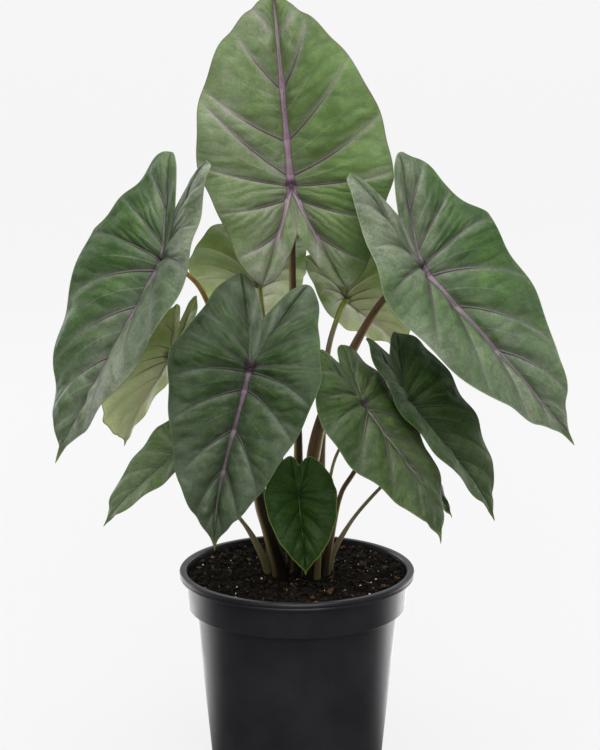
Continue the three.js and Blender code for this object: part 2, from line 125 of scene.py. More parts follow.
def soft_noise(points, size, seed, waves=9):
    """Smooth unevenness of about -1 to 1: the scaled sum of sine waves of wavelength near size, in directions
    drawn from seed."""
    draw = np.random.default_rng(seed)
    directions = draw.normal(size=(waves, 3))
    directions *= (draw.uniform(0.7, 1.4, waves) / np.linalg.norm(directions, axis=1))[:, None]
    phases = draw.uniform(0, 2 * np.pi, waves)
    turns = np.asarray(points) @ directions.T * (2 * np.pi / size) + phases
    return np.sin(turns).sum(-1) / math.sqrt(waves)


def smooth_step(low, high, value):
    """0 below low, 1 above high, and 3s^2 - 2s^3 between them."""
    share = np.clip((value - low) / (high - low), 0, 1)
    return share * share * (3 - 2 * share)


def curve_through(knots, s):
    """Points on a Catmull-Rom curve, where s runs from 0 at the first knot to n - 1 at the last."""
    knots = np.asarray(knots, float)
    ends = np.vstack([2 * knots[0] - knots[1], knots, 2 * knots[-1] - knots[-2]])
    i = np.clip(np.floor(s).astype(int), 0, len(knots) - 2)
    f = (s - i)[..., None]
    a, b, c, d = ends[i], ends[i + 1], ends[i + 2], ends[i + 3]
    return 0.5 * (2 * b + (c - a) * f + (2 * a - 5 * b + 4 * c - d) * f ** 2 + (3 * (b - c) + d - a) * f ** 3)


# %% [markdown]
# ## Short calls for shader nodes
#
# A material is a small network. Writing every node and link by hand hides the idea behind the plumbing, so
# one helper places a node, sets plain numbers and colours, and links whatever is the output of another
# node. Most of a finish is then said with rise and fall, which make masks, and with coats of colour laid
# over each other.

# %% Node tools
class Network:
    """Short calls for the nodes of a material, a world or a node group."""

    def __init__(self, tree):
        self.tree = tree

    def fill(self, node, inputs):
        """Gives a node its inputs, by name or number: an output socket is linked and a plain value is set."""
        for label, value in inputs.items():
            socket = node.inputs[label]
            if isinstance(value, bpy.types.NodeSocket):
                self.tree.links.new(value, socket)
            else:
                socket.default_value = value
        return node

    def node(self, kind, inputs=None, **settings):
        """A new node with its settings and its inputs."""
        made = self.tree.nodes.new(kind)
        for label, value in settings.items():
            setattr(made, label, value)
        return self.fill(made, inputs or {})

    def math(self, operation, *values, clamp=False):
        """One arithmetic step."""
        made = self.node("ShaderNodeMath", dict(enumerate(values)), operation=operation, use_clamp=clamp)
        return made.outputs[0]

    def times(self, first, *others):
        """The product of two or more numbers."""
        for other in others:
            first = self.math("MULTIPLY", first, other)
        return first

    def plus(self, first, *others):
        """The sum of two or more numbers."""
        for other in others:
            first = self.math("ADD", first, other)
        return first

    def rise(self, value, low, high, bottom=0.0, top=1.0):
        """Value taken smoothly from low and high to bottom and top."""
        inputs = {"Value": value, "From Min": low, "From Max": high, "To Min": bottom, "To Max": top}
        return self.node("ShaderNodeMapRange", inputs, interpolation_type="SMOOTHSTEP").outputs[0]

    def fall(self, value, near, far):
        """A mask that is 1 where value is below near and 0 above far."""
        return self.rise(value, near, far, 1.0, 0.0)

    def mix(self, mask, first, second):
        """The first colour where the mask is 0 and the second where it is 1."""
        inputs = {"Factor": mask, 6: first, 7: second}
        return self.node("ShaderNodeMix", inputs, data_type="RGBA").outputs[2]

    def coats(self, colour, layers):
        """Colours laid over the first one in turn, each where its mask is 1."""
        for mask, over in layers:
            colour = self.mix(mask, colour, over)
        return colour

    def attribute(self, label):
        """A number kept on the mesh."""
        return self.node("ShaderNodeAttribute", attribute_name=label).outputs["Fac"]

    def place(self):
        """The point on the piece, in metres."""
        return self.node("ShaderNodeTexCoord").outputs["Object"]

    def vector(self, x, y, z):
        """Three numbers as one vector."""
        return self.node("ShaderNodeCombineXYZ", {0: x, 1: y, 2: z}).outputs[0]

    def noise(self, vector, scale, detail=2.0, roughness=0.5):
        """Cloudy noise from 0 to 1."""
        inputs = {"Vector": vector, "Scale": scale, "Detail": detail, "Roughness": roughness}
        return self.node("ShaderNodeTexNoise", inputs).outputs["Fac"]

    def bump(self, height, strength, distance):
        """A normal from a height."""
        inputs = {"Height": height, "Strength": strength, "Distance": distance}
        return self.node("ShaderNodeBump", inputs).outputs["Normal"]


def paint(red, green, blue):
    """A colour named by its screen values from 0 to 255, as the linear colour that a shader wants."""
    screen = np.array([red, green, blue]) / 255
    linear = np.where(screen <= 0.04045, screen / 12.92, ((screen + 0.055) / 1.055) ** 2.4)
    return (*linear.tolist(), 1.0)


def new_material(name):
    """A material, its network and its Principled shader."""
    material = bpy.data.materials.new(name)
    material.use_nodes = True
    net = Network(material.node_tree)
    return material, net, material.node_tree.nodes["Principled BSDF"]


def new_group(name, outputs):
    """A node group that gives numbers: the group, its network and its output node."""
    group = bpy.data.node_groups.new(name, "ShaderNodeTree")
    for label in outputs:
        group.interface.new_socket(label, in_out="OUTPUT", socket_type="NodeSocketFloat")
    net = Network(group)
    return group, net, net.node("NodeGroupOutput")


# %% [markdown]
# ## The leaves by their landmarks
#
# A leaf of this plant is an arrowhead: a blade in front of the stalk and two lobes behind it, folded into a
# valley along the midrib and the two lobe ribs. Each leaf is described as a botanist would measure it, by
# six points in millimetres: where the stalk ends, the tip, the two widest points of the margin and the ends
# of the two lobes. The same points drive the CAD blades, so the fine leaves lie in them. The other values
# say how far the blade bulges and bends, how deep its notch is, and how it is slimmed, coloured and
# carried.

# %% Leaf landmarks
SOIL = 151
# The sheen side and strength say which half of a blade gets painted sheen, and how much.
USUAL = dict(
    bend=0, pinch=0, slim=(0, 0), sheen_side=0, sheen_strength=1, extra_vein=False, left_ends={}, right_ends={})
LEAVES = {
    "crown": dict(
        at=(-4, 5, 424), tip=(-17, 40, 559), right=(64, -12, 436), left=(-66, -14, 441),
        right_lobe=(33, -15, 357), left_lobe=(-23, -22, 360),
        bulge=5, notch=0.48, pinch=0.1, seed=1, look="pale", sheen_side=-1, sheen_strength=0.4,
        left_ends={1: 0.35, 2: 0.55, 3: 0.85}, right_ends={1: 0.3},
        stalk=[(-3, 9, 395), (-3, 8, 358), (-1, 5, 300), (1, 2, 241), (0, 4, 190), (0, 4, SOIL)],
        radii=(2.1, 2.8, 5.0)),
    "left": dict(
        at=(-90, -30, 378), tip=(-160, -70, 248), right=(-142, 6, 391), left=(-71, -86, 379),
        right_lobe=(-85, 7, 447), left_lobe=(-58, -50, 447),
        bulge=1, notch=0.5, pinch=0.16, slim=(0.08, -0.12), seed=2, look="full_shaded", sheen_side=-1,
        stalk=[(-73, -27, 368), (-61, -18, 349), (-46, -6, 300), (-27, 3, 220), (-12, 8, SOIL)],
        radii=(1.6, 2.4, 4.2)),
    "right": dict(
        at=(84, -20, 372), tip=(186, -50, 256), right=(60, -75, 357), left=(132, 11, 400),
        right_lobe=(35, -26, 435), left_lobe=(69, 3, 446.5),
        bulge=3, notch=0.5, pinch=0.16, slim=(-0.06, 0.08), seed=3, look="full", sheen_side=1,
        stalk=[(62, -18, 353), (46, -13, 329), (30, -9, 295), (15, -7, 256), (9, -5, 210), (10, -3, SOIL)],
        radii=(2.0, 4.6, 5.6)),
    "front": dict(
        at=(-31, -55, 311), tip=(-54, -95, 195), right=(-84, -77, 322), left=(15, -86, 305),
        right_lobe=(-38, -13, 367), left_lobe=(8, -25, 361),
        bulge=5, bend=4, notch=0.55, pinch=0.1, slim=(0.14, 0.08), seed=4, look="dark",
        extra_vein=True, left_ends={5: 0.2, 6: 0.4, 7: 0.2}, right_ends={5: 0.3, 6: 0.8, 7: 0.4},
        stalk=[(-30, -40, 288), (-29, -28, 250), (-26, -22, 212), (-20, -18, 188), (-11, -9, SOIL)],
        radii=(1.6, 3.9, 6.0)),
    "front_right": dict(
        at=(45, -55, 286), tip=(95, -85, 198), right=(19, -82, 272), left=(66, -21, 284),
        right_lobe=(14, -62, 323), left_lobe=(30, -22, 319),
        bulge=4, bend=-7, notch=0.72, seed=5, look="young",
        stalk=[(38, -45, 268), (27, -33, 245), (22, -25, 222), (16, -18, 180), (14, -13, SOIL)],
        radii=(1.0, 1.2, 2.8)),
    "low_right": dict(
        at=(77, -15, 278), tip=(135, -35, 199), right=(70, -54, 280), left=(108, 8, 290),
        right_lobe=(47, -24, 324), left_lobe=(68, 20, 320),
        bulge=4, notch=0.7, slim=(0.06, 0.06), seed=6, look="deep", sheen_side=1,
        stalk=[(62, -9, 262), (39, -10, 226), (30, -9, 209), (23, -8, 175), (20, -7, SOIL)],
        radii=(1.2, 1.9, 3.6)),
    "small_front": dict(
        at=(1, -35, 218), tip=(6, -50, 165), right=(-22, -46, 220), left=(27, -39, 220),
        right_lobe=(-5, -17, 240), left_lobe=(9, -18, 240),
        bulge=3, notch=0.78, seed=7, look="new",
        stalk=[(2, -25, 204), (3, -17, 178), (2, -9, SOIL)],
        radii=(0.9, 1.3, 2.6)),
    "low_left": dict(
        at=(-80, -15, 244), tip=(-132, -35, 195), right=(-98, 1, 254), left=(-74, -40, 242),
        right_lobe=(-60, 4, 275), left_lobe=(-50, -22, 271),
        bulge=3, notch=0.5, slim=(0.12, 0), seed=8, look="mild",
        stalk=[(-63, -9, 220), (-41, -6, 194), (-30, -2, 176), (-20, 1, SOIL)],
        radii=(1.0, 1.5, 3.6)),
    "back_left": dict(
        at=(-90, 40, 299), tip=(-125, 60, 228), right=(-84, 72, 291), left=(-130, 33, 283),
        right_lobe=(-71, 50, 340), left_lobe=(-84, 22, 339),
        bulge=3, notch=0.6, seed=9, look="full",
        stalk=[(-76, 31, 283), (-52, 26, 252), (-31, 22, 220), (-22, 19, 185), (-18, 18, SOIL)],
        radii=(1.2, 1.8, 3.4)),
    "back": dict(
        at=(-26, 40, 350), tip=(-26, 85, 301), right=(6, 72, 357), left=(-77, 45, 362),
        right_lobe=(-3, 14, 398), left_lobe=(-42, 3, 402),
        bulge=3, notch=0.5, seed=10, look="full",
        stalk=[(-24, 31, 334), (-19, 25, 290), (-10, 20, 215), (-4, 20, SOIL)],
        radii=(1.2, 2.0, 3.8)),
    "back_right": dict(
        at=(34, 35, 340), tip=(77, 75, 296), right=(72, 55, 343), left=(25, 70, 321),
        right_lobe=(54, 28, 383), left_lobe=(6, 12, 374),
        bulge=3, notch=0.5, seed=11, look="full",
        stalk=[(29, 30, 330), (21, 24, 300), (18, 20, 242), (17, 16, 190), (16, 15, SOIL)],
        radii=(1.8, 2.4, 3.8)),
    "hidden_right": dict(
        at=(77, -5, 233), tip=(107, -20, 197), right=(70, -24, 232), left=(84, 12, 236),
        right_lobe=(62, -8, 254), left_lobe=(71, 8, 255),
        bulge=2, notch=0.5, seed=12, look="new",
        stalk=[(57, -1, 212), (39, 3, 189), (26, 5, 165), (23, 6, SOIL)],
        radii=(1.0, 1.5, 2.8)),
}
LEAVES = {name: {**USUAL, **leaf} for name, leaf in LEAVES.items()}
BIG_LEAVES = ("crown", "left", "right", "front")
print("leaves:", len(LEAVES))

# %% [markdown]
# ## Half an outline, and the veins across it
#
# Half of the margin is one curve from the tip, round the lobe and into the notch. A grid that simply runs
# across the leaf would cut through the veins in steps. So the grid follows the veins instead: every row of
# points runs along a vein, or between two, from a rib to the margin. The veins and the quilting between
# them then come out as clean lines.

# %% Outline and veins
MARGIN = [
    (0, 1), (0.05, 0.94), (0.20, 0.87), (0.50, 0.72), (0.79, 0.50), (0.96, 0.27), (1.0, 0.03),
    (0.95, -0.30), (0.83, -0.60), (0.64, -0.87), (0.44, -1.0), (0.27, -0.92), (0.12, -0.72), (0, -0.50),
]
LOBE_END = 10
NOTCH = 13
LOBE_X = 0.44
LOBE_RIB_BEND = (0.13, -0.40)
WIDEST_Y = 0.03
LOBE_VEINS = [(0, 6), (-0.16, 7.3), (-0.52, 8.6), (-1, LOBE_END)]
OUTER_VEINS = np.array([(1, 0), (0.74, 1.9), (0.47, 2.5), (0.22, 3.5), (0.05, 4.8), *LOBE_VEINS])
FIVE_VEINS = np.array([(1, 0), (0.78, 1.5), (0.57, 2.3), (0.35, 3.3), (0.125, 4.5), (0.03, 5.3), *LOBE_VEINS])
INNER_VEINS = np.array([(-1, LOBE_END), (-0.52, 11.7), (-0.16, NOTCH), (0, NOTCH + 1)])
WAVE_STEPS = (0, 2, 3, 4, 5, 6, 7.3, 8.6, LOBE_END)
VEIN_SWEEP = 0.1
VALLEY_SOFTNESS = 0.05
FOLD_SOFTNESS = 0.1
LOBE_LIFT = 0.3
CUP = 0.1
PUFF = 0.026
WAVE = 0.035
WAVES_PER_VEIN = 0.62
SCALLOP = 0.010


def margin_at(leaf, m, side):
    """One side's outline at m, from 0 at the tip to 13 in the notch. From there it runs back to the stalk."""
    x, y = np.moveaxis(curve_through(MARGIN, np.minimum(m, NOTCH)), -1, 0)
    y = y + (np.clip(m - LOBE_END, 0, 3) / 3) ** 2 * (0.5 - leaf["notch"])
    behind = np.sin(np.pi * np.clip(-y, 0, 1)) ** 1.5
    ahead = np.sin(np.pi * np.clip(y, 0, 1)) ** 1.5
    x = x * (1 - leaf["slim"][0 if side > 0 else 1] * ahead)
    x = np.where(m < LOBE_END, x * (1 - leaf["pinch"] * behind), x)
    keep = 1 - np.clip(m - NOTCH, 0, 1)
    step = np.interp(m, OUTER_VEINS[:, 1], np.arange(len(OUTER_VEINS)))
    ends = np.clip((m - 0.6) / 2.6, 0, 1) ** 2 * np.clip((LOBE_END - m) / 2, 0, 1)
    scallop = 1 + SCALLOP * ends * (np.cos(2 * np.pi * step) + 0.4 * np.sin(2.3 * step + 2 * leaf["seed"]))
    return x * keep * scallop, y * keep * scallop


def rib_at(k):
    """The ribs at k: the midrib from 1 at the tip to 0 at the stalk, then a lobe's rib, a parabola, to -1."""
    q = np.maximum(-k, 0)
    x = 2 * q * (1 - q) * LOBE_RIB_BEND[0] + q * q * LOBE_X
    y = 2 * q * (1 - q) * LOBE_RIB_BEND[1] - q * q
    return x, np.where(k > 0, k, y)


def lobe_rib_x(back):
    """How far the lobe's rib is from the centre line, at a share of the way back to the lobe's end."""
    linear = -2 * LOBE_RIB_BEND[1]
    square = 1 - linear
    q = (np.sqrt(linear ** 2 + 4 * square * back) - linear) / (2 * square)
    return 2 * q * (1 - q) * LOBE_RIB_BEND[0] + q * q * LOBE_X


print("veins from a midrib to one margin:", len(OUTER_VEINS) - len(LOBE_VEINS) - 1)

# %% [markdown]
# ## Bending the flat outline into the leaf's own valley
#
# The landmarks give five directions: along the front part, across, up to both widest points, and back along
# each lobe. A flat point is carried along them, with the sharp folds rounded off. Sculpting twelve leaves
# by hand could give the same, but here one formula bends all of them, and each still has its own pose.

# %% Bend the leaf
def leaf_axes(leaf):
    """The leaf's directions in space, worked out from its landmarks."""
    at = np.array(leaf["at"], float)
    along = np.array(leaf["tip"]) - at
    right = np.array(leaf["right"]) - at - WIDEST_Y * along
    left = np.array(leaf["left"]) - at - WIDEST_Y * along
    across = (right - left) / 2
    back_right = np.array(leaf["right_lobe"]) - at - LOBE_X * across
    back_left = np.array(leaf["left_lobe"]) - at + LOBE_X * across
    up = np.cross(across, along)
    return dict(
        at=at, along=along, across=across, rise=(right + left) / 2,
        back_right=back_right, back_left=back_left,
        up=up / np.linalg.norm(up), side=across / np.linalg.norm(across),
        half=(np.linalg.norm(right) + np.linalg.norm(left)) / 2, length=np.linalg.norm(along),
        lobe=(np.linalg.norm(back_right) + np.linalg.norm(back_left)) / 2)


def place_points(leaf, axes, x, y, lift):
    """Flat points in space. The height above the valley's floor is sqrt(d^2 + s^2) - s, where d is the
    distance across from the nearest rib, and the fold at the stalk is rounded in the same way."""
    wide = np.abs(x)
    rib = lobe_rib_x(np.clip(-y, 0, 1))
    sharp = np.where(wide > rib, wide - rib, LOBE_LIFT * (rib ** 2 - wide ** 2) / (2 * rib + 1e-9))
    valley = np.hypot(sharp, VALLEY_SOFTNESS) - VALLEY_SOFTNESS
    mix = smooth_step(-LOBE_X, LOBE_X, x)[..., None]
    back = -(axes["back_left"] * (1 - mix) + axes["back_right"] * mix) / axes["lobe"]
    fore = axes["along"] / axes["length"]
    run = np.where(y > 0, y * axes["length"], y * axes["lobe"])
    soft = FOLD_SOFTNESS * axes["length"]
    turn = np.where(np.abs(run) < soft, (run ** 2 + soft ** 2) / (2 * soft), np.abs(run))
    ahead = np.clip(y, 0, 1)
    hump = 6.75 * ahead ** 2 * (1 - ahead)
    moves = (
        (x, axes["across"]), (valley, axes["rise"]), ((run + turn) / 2, fore), ((run - turn) / 2, back),
        (leaf["bulge"] * hump + lift, axes["up"]), (leaf["bend"] * hump, axes["side"]))
    return axes["at"] + sum(amount[..., None] * direction for amount, direction in moves)


print("crown leaf from heart to tip, in mm:", round(leaf_axes(LEAVES["crown"])["length"]))

# %% [markdown]
# ## A quarter of a blade as a grid along its veins
#
# The sheet between the ribs and the outer margin, and the one between a lobe's rib and the notch, are both
# grids of rows along veins. With each point go the distances that the finish needs, in millimetres: to the
# nearest rib, to the nearest vein and to the margin. The grid is closer near veins, ribs and margin, where
# the surface turns quickly.

# %% Vein sheets
TIP_VEIN_WEIGHT = 0.15
INNER_VEIN_WEIGHT = 0.35
FOLD_SLANT = 1.95
TIP_FOLDS = (0.4, 2.4)
TIP_BOOST = 2.6
SHADE_WIDTH = 0.13
FAR_FROM_EDGE = 99.0
# distance from the rib, in mm, over which the painted sheen grows to its full strength
SHEEN_FROM_RIB = 9


def close_at_ends(count, closeness):
    """Count + 1 numbers from 0 to 1 that crowd at both ends: i/n - c sin(2 pi i/n) / (2 pi)."""
    share = np.linspace(0, 1, count + 1)
    return share - closeness * np.sin(2 * np.pi * share) / (2 * np.pi)


def side_veins(leaf, side):
    """The outer veins of one side: each ends a little off its place in the table, as drawn from the seed, and
    the leaf's own list can shift some of them further."""
    draw = np.random.default_rng(leaf["seed"] * 2 + (side > 0))
    veins = (FIVE_VEINS if leaf["extra_vein"] else OUTER_VEINS).copy()
    veins[1:5, 1] += draw.uniform(-0.15, 0.15, 4)
    for number, shift in leaf["right_ends" if side > 0 else "left_ends"].items():
        veins[number, 1] += shift
    return veins


def vein_sheet(leaf, axes, outer, side, rows_per_vein, columns):
    """Points and distances on a grid. A row is a quadratic curve from the rib to the margin, and its lift is
    the sum of a cup, a puff between veins and a wave that grows as t^2 towards the margin."""
    veins = side_veins(leaf, side) if outer else INNER_VEINS
    count = len(veins) - 1
    inside = close_at_ends(rows_per_vein, 0.6)
    u = np.append((np.arange(count)[:, None] + inside[:-1]).ravel(), count)
    u, t = np.meshgrid(u, close_at_ends(columns, 0.75), indexing="ij")
    k, m = (np.interp(u, np.arange(count + 1), column) for column in veins.T)
    rib_x, rib_y = rib_at(k)
    edge_x, edge_y = margin_at(leaf, m, side)
    size_x, size_y = axes["half"], (axes["length"] + axes["lobe"]) / 2
    dx = (edge_x - rib_x) * size_x
    dy = (edge_y - rib_y) * size_y
    sweep = VEIN_SWEEP if outer else 0
    turn_x = (rib_x + edge_x) / 2 + dy * sweep / size_x
    turn_y = (rib_y + edge_y) / 2 - dx * sweep / size_y
    x = (1 - t) ** 2 * rib_x + 2 * t * (1 - t) * turn_x + t * t * edge_x
    y = (1 - t) ** 2 * rib_y + 2 * t * (1 - t) * turn_y + t * t * edge_y

    phase = leaf["seed"] * 1.7 + (2.1 if side < 0 else 0)
    step = np.interp(m, WAVE_STEPS, np.arange(len(WAVE_STEPS)))
    wave = np.sin(2 * np.pi * WAVES_PER_VEIN * step + phase) * np.minimum(0.9 * step, 1)
    wave *= smooth_step(0, 0.25 * size_x, np.hypot(dx, dy))
    between = u - np.floor(u)
    puff = PUFF * size_x * 4 * between * (1 - between) * np.sin(np.pi * t ** 0.8)
    cup = CUP * np.hypot(dx, dy) * 4 * t * (1 - t)
    fade = 1 if outer else np.clip(1 - u / 2, 0, 1)
    lift = fade * (WAVE * size_x * wave * t * t + puff + cup)
    points = place_points(leaf, axes, side * x, y, lift)
    flat = np.stack([x * size_x, y * size_y], -1)
    distances = sheet_distances(outer, u, t, flat, points, size_x)
    rib = np.abs(x - lobe_rib_x(np.clip(-y, 0, 1))) * size_x
    # painted sheen: the half of the blade turned to the light is paled, growing from the rib outwards
    painted_sheen = smooth_step(0, SHEEN_FROM_RIB, rib) * (side == leaf["sheen_side"]) * leaf["sheen_strength"]
    return points, dict(distances, rib=rib, reach=t, fore=y, painted_sheen=painted_sheen)


def sheet_distances(outer, u, t, flat, points, size):
    """Distances on a sheet in millimetres. The one to a vein is |u - vein| * width, and the width of a step
    in u is the area of the flat cell over its length along the vein. A vein's lower flank, seen on the
    standing leaf, is told from its upper one by whether the sheet falls or climbs there. The lower flank
    gets a line of painted shade, and a band on the side above the vein gets painted shade as well."""
    per_u = np.gradient(flat, axis=0) / np.gradient(u, axis=0)[..., None]
    per_t = np.gradient(flat, axis=1) / np.gradient(t, axis=1)[..., None]
    area = np.abs(per_u[..., 0] * per_t[..., 1] - per_u[..., 1] * per_t[..., 0])
    vein_length = np.linalg.norm(per_t, axis=-1)
    width = area / (vein_length + 1e-6)
    nearest = np.clip(np.round(u), 1, u.max() - 1)
    vein = np.abs(u - nearest) * width
    at_tip = (u < 1) & outer
    drop = -np.gradient(points, axis=0)
    drop = drop[..., 2] / (np.linalg.norm(drop, axis=-1) + 1e-9)
    below = np.sign(u - nearest) * np.clip(3 * drop, -1, 1)
    between = u - np.floor(u)
    run, across = t * vein_length, between * width
    edge = (1 - t) * area / (np.linalg.norm(per_u, axis=-1) + 1e-6)
    return dict(
        vein=vein,
        weight=np.where((nearest == 1) & outer, TIP_VEIN_WEIGHT, 1.0 if outer else INNER_VEIN_WEIGHT),
        # lower: signed distance from a vein, positive on its lower flank, where the painted shade line goes
        lower=vein * np.exp(-(vein / 3.0) ** 2) * below,
        # shade: painted shade in a band on the side above each vein, where the puffed sheet turns down
        shade=np.clip(-below, 0, 1) * np.exp(-(vein / (SHADE_WIDTH * size)) ** 2) * (1 - 0.7 * t * t),
        lane=np.where(at_tip, TIP_FOLDS[0] * run - TIP_FOLDS[1] * across, run - FOLD_SLANT * across),
        boost=np.where(at_tip, TIP_BOOST, 1.0),
        edge=edge if outer else np.where(u > 2, FAR_FROM_EDGE, edge),
        minor=np.abs(between - 0.5) * width)


# %% [markdown]
# ## A whole blade
#
# Four sheets, two for each side, share the ribs and the line to the notch. Blender could merge their
# doubled points, but then the distances kept with them would have to be merged too, so numpy joins both at
# once. A surface that is to be moved along its normals also needs them, and its open edges show where a
# wall goes.

# %% Join the sheets
SAME_POINT = 0.0005


def join_sheets(sheets):
    """One list of points, triangles and distances from several grids. Points that coincide become one."""
    points, triangles, distances, start = [], [], {}, 0
    for (grid, values), side in sheets:
        rows, columns = grid.shape[:2]
        number = start + np.arange(rows * columns).reshape(rows, columns)
        a, b, c, d = number[:-1, :-1], number[:-1, 1:], number[1:, 1:], number[1:, :-1]
        two = [(a, c, b), (a, d, c)] if side > 0 else [(a, b, c), (a, c, d)]
        triangles += [np.stack(corners, -1).reshape(-1, 3) for corners in two]
        points.append(grid.reshape(-1, 3))
        for label, value in values.items():
            distances.setdefault(label, []).append(value.ravel())
        start += rows * columns
    points = np.vstack(points)
    keys = np.round(points / SAME_POINT).astype(np.int64)
    _, first, same = np.unique(keys, axis=0, return_index=True, return_inverse=True)
    triangles = same.reshape(-1)[np.vstack(triangles)]
    a, b, c = triangles.T
    triangles = triangles[(a != b) & (b != c) & (c != a)]
    return points[first], triangles, {label: np.concatenate(v)[first] for label, v in distances.items()}


def point_normals(points, triangles):
    """The sum of the faces' normals round each point, made one unit long."""
    a, b, c = (points[triangles[:, i]] for i in range(3))
    faces = np.cross(b - a, c - a)
    total = np.zeros_like(points)
    for i in range(3):
        for axis in range(3):
            total[:, axis] += np.bincount(triangles[:, i], faces[:, axis], len(points))
    return total / (np.linalg.norm(total, axis=1, keepdims=True) + 1e-12)


def open_edges(triangles):
    """The edges that only one triangle has, in that triangle's own direction."""
    edges = np.vstack([triangles[:, [0, 1]], triangles[:, [1, 2]], triangles[:, [2, 0]]])
    keys = np.sort(edges, axis=1)
    _, first, count = np.unique(keys, axis=0, return_index=True, return_counts=True)
    return edges[first[count == 1]]


# %% [markdown]
# ## Quilting, folds and veins in relief
#
# The small side veins pull the sheet together, so between two large veins it stands up in a row of soft
# folds that sweep from one vein out to the margin, and it sinks along the large veins. A displacement
# texture could not follow the veins like this. Here the folds are a wave of two distances that every point
# already has: along its vein and away from it. Noise bends the folds and lets them fade in places. The
# upper face gets thin raised cords for the veins, and the lower face strong ribs.

# %% Relief of a blade
MEASURED_LENGTH = 135
FOLD_LENGTH = 7.3
FOLD_HEIGHT = 0.85
FOLD_ROUNDING = 0.3
LUMP_HEIGHT = 0.4
DIMPLE_HEIGHT = 0.14
VEIN_VALLEY = 1.25
RIB_VALLEY = 0.8
CORD_HEIGHT = 0.8
RIB_HEIGHT = 0.33
UNDER_CORD_HEIGHT = 0.5
UNDER_RIB_HEIGHT = 0.9
RIB_TAPER = 0.68
RELIEF = {
    "pale": dict(rib=2.4, lobe=0.8, vein=0.5, fade=(0.35, 0.8)),
    "full": dict(rib=1.75, lobe=0.6, vein=0.42, fade=(0.3, 0.7)),
    "dark": dict(rib=1.9, lobe=0.3, vein=0.38, fade=(0.2, 0.6)),
    "young": dict(rib=1.5, lobe=0.5, vein=0.6, fade=(0.25, 0.7)),
    "deep": dict(rib=1.4, lobe=0.6, vein=0.6, fade=(0.3, 0.75)),
    "mild": dict(rib=1.4, lobe=0.6, vein=0.6, fade=(0.3, 0.8)),
    "new": dict(rib=1.2, lobe=0.6, vein=0.5, fade=(0.3, 0.8)),
}
RELIEF["full_shaded"] = RELIEF["full"]


def blade_relief(leaf, axes, points, at):
    """The heights of a blade's middle, upper and lower surface, in millimetres, and the blade's own measures
    of rib, vein and fold. A fold is |sin(pi phase / 2)| with its valley rounded, and the phase is
    (run - slant * across) / wavelength, plus noise."""
    size = axes["length"] / MEASURED_LENGTH
    style = RELIEF[leaf["look"]]
    fore, reach, vein, edge = at["fore"], at["reach"], at["vein"], at["edge"]

    def noise(wavelength, seed, waves=9):
        return soft_noise(points, wavelength * size, leaf["seed"] + seed, waves)

    share = np.where(fore > 0, fore, 1.25 * np.abs(fore))
    on_lobe = smooth_step(0.02, 0.1, -fore) * (1 - style["lobe"])
    in_lobe = 1 - smooth_step(0.5, 0.85, -fore)
    rib_width = style["rib"] * size * (1 - RIB_TAPER * np.clip(share, 0, 1)) * (1 - on_lobe)
    vein_width = style["vein"] * math.sqrt(size) * (1.05 - 0.6 * reach)
    spine = at["rib"] / rib_width
    ends = smooth_step(0, 6 * size, edge)

    phase = at["lane"] / (FOLD_LENGTH * size ** 0.6) + 0.5 * noise(45, 20) + 0.22 * noise(14, 30)
    clear = smooth_step(0.4, 4 * size, vein) * smooth_step(0, 2.5 * size, at["rib"] - rib_width)
    uneven = np.clip(0.55 + 0.6 * noise(20, 40), 0, 1.2) * (0.35 + 0.65 * in_lobe)
    uneven *= 1 - 0.3 * smooth_step(0.6, 0.95, reach)
    folds = FOLD_HEIGHT * uneven * at["boost"] * (np.hypot(np.sin(np.pi * phase / 2), FOLD_ROUNDING) - 0.7)
    lumps = LUMP_HEIGHT * noise(16, 60) + DIMPLE_HEIGHT * noise(7, 70, waves=16)

    fading = (1 - smooth_step(*style["fade"], reach)) * at["weight"]
    depth = 0.35 * at["weight"] + 0.65 * fading
    valley = VEIN_VALLEY * np.exp(-(vein / (3.0 * size)) ** 1.2) * depth
    rib_valley = RIB_VALLEY * np.exp(-(at["rib"] / (2.0 * rib_width)) ** 2) * in_lobe * (1 - on_lobe) ** 2
    fading = fading * smooth_step(0.6, 1.4, spine)
    cord = np.exp(-(vein / vein_width) ** 2) * fading
    rib = np.exp(-spine ** 4) * ends * in_lobe
    inland = smooth_step(0, 5 * size, edge)
    middle = size * (inland * (clear * (folds + lumps) - valley) - ends * rib_valley)
    upper = CORD_HEIGHT * vein_width * cord + RIB_HEIGHT * rib_width * rib
    lower = size * (UNDER_CORD_HEIGHT * cord + UNDER_RIB_HEIGHT * np.exp(-(spine / 0.8) ** 2) * ends)
    at.update(phase=phase, cord=vein / vein_width, lower=at["lower"] / vein_width, spine=spine, fading=fading)
    return middle, upper, lower


# %% [markdown]
# ## A closed blade
#
# A leaf is less than a millimetre thick, but it isn't a single sheet: it has a pale underside, and its edge
# catches the light. A Solidify modifier could thicken it evenly. Here the two faces differ, so each is the
# middle surface moved along its normals by its own relief, and a wall round the margin joins them.

# %% Make a blade
EDGE_HALF_THICKNESS = 0.22
EXTRA_HALF_THICKNESS = 0.13
BIG_GRID = (22, 56, 20)
SMALL_GRID = (14, 34, 12)
LEAF_READS = (
    "rib", "vein", "reach", "phase", "spine", "cord", "fore", "edge", "fading", "painted_sheen", "lower", "minor",
    "shade", "heart")


def draw_in(points, centre):
    """Points drawn in towards a centre until all of them lie in the CAD model's box, where they don't yet."""
    low, high = (np.array(corner) / MM for corner in cad_bounds)
    away = points - centre
    room = np.where(away > 0, high - centre, low - centre)
    return centre + away / max((away / room).max(), 1)


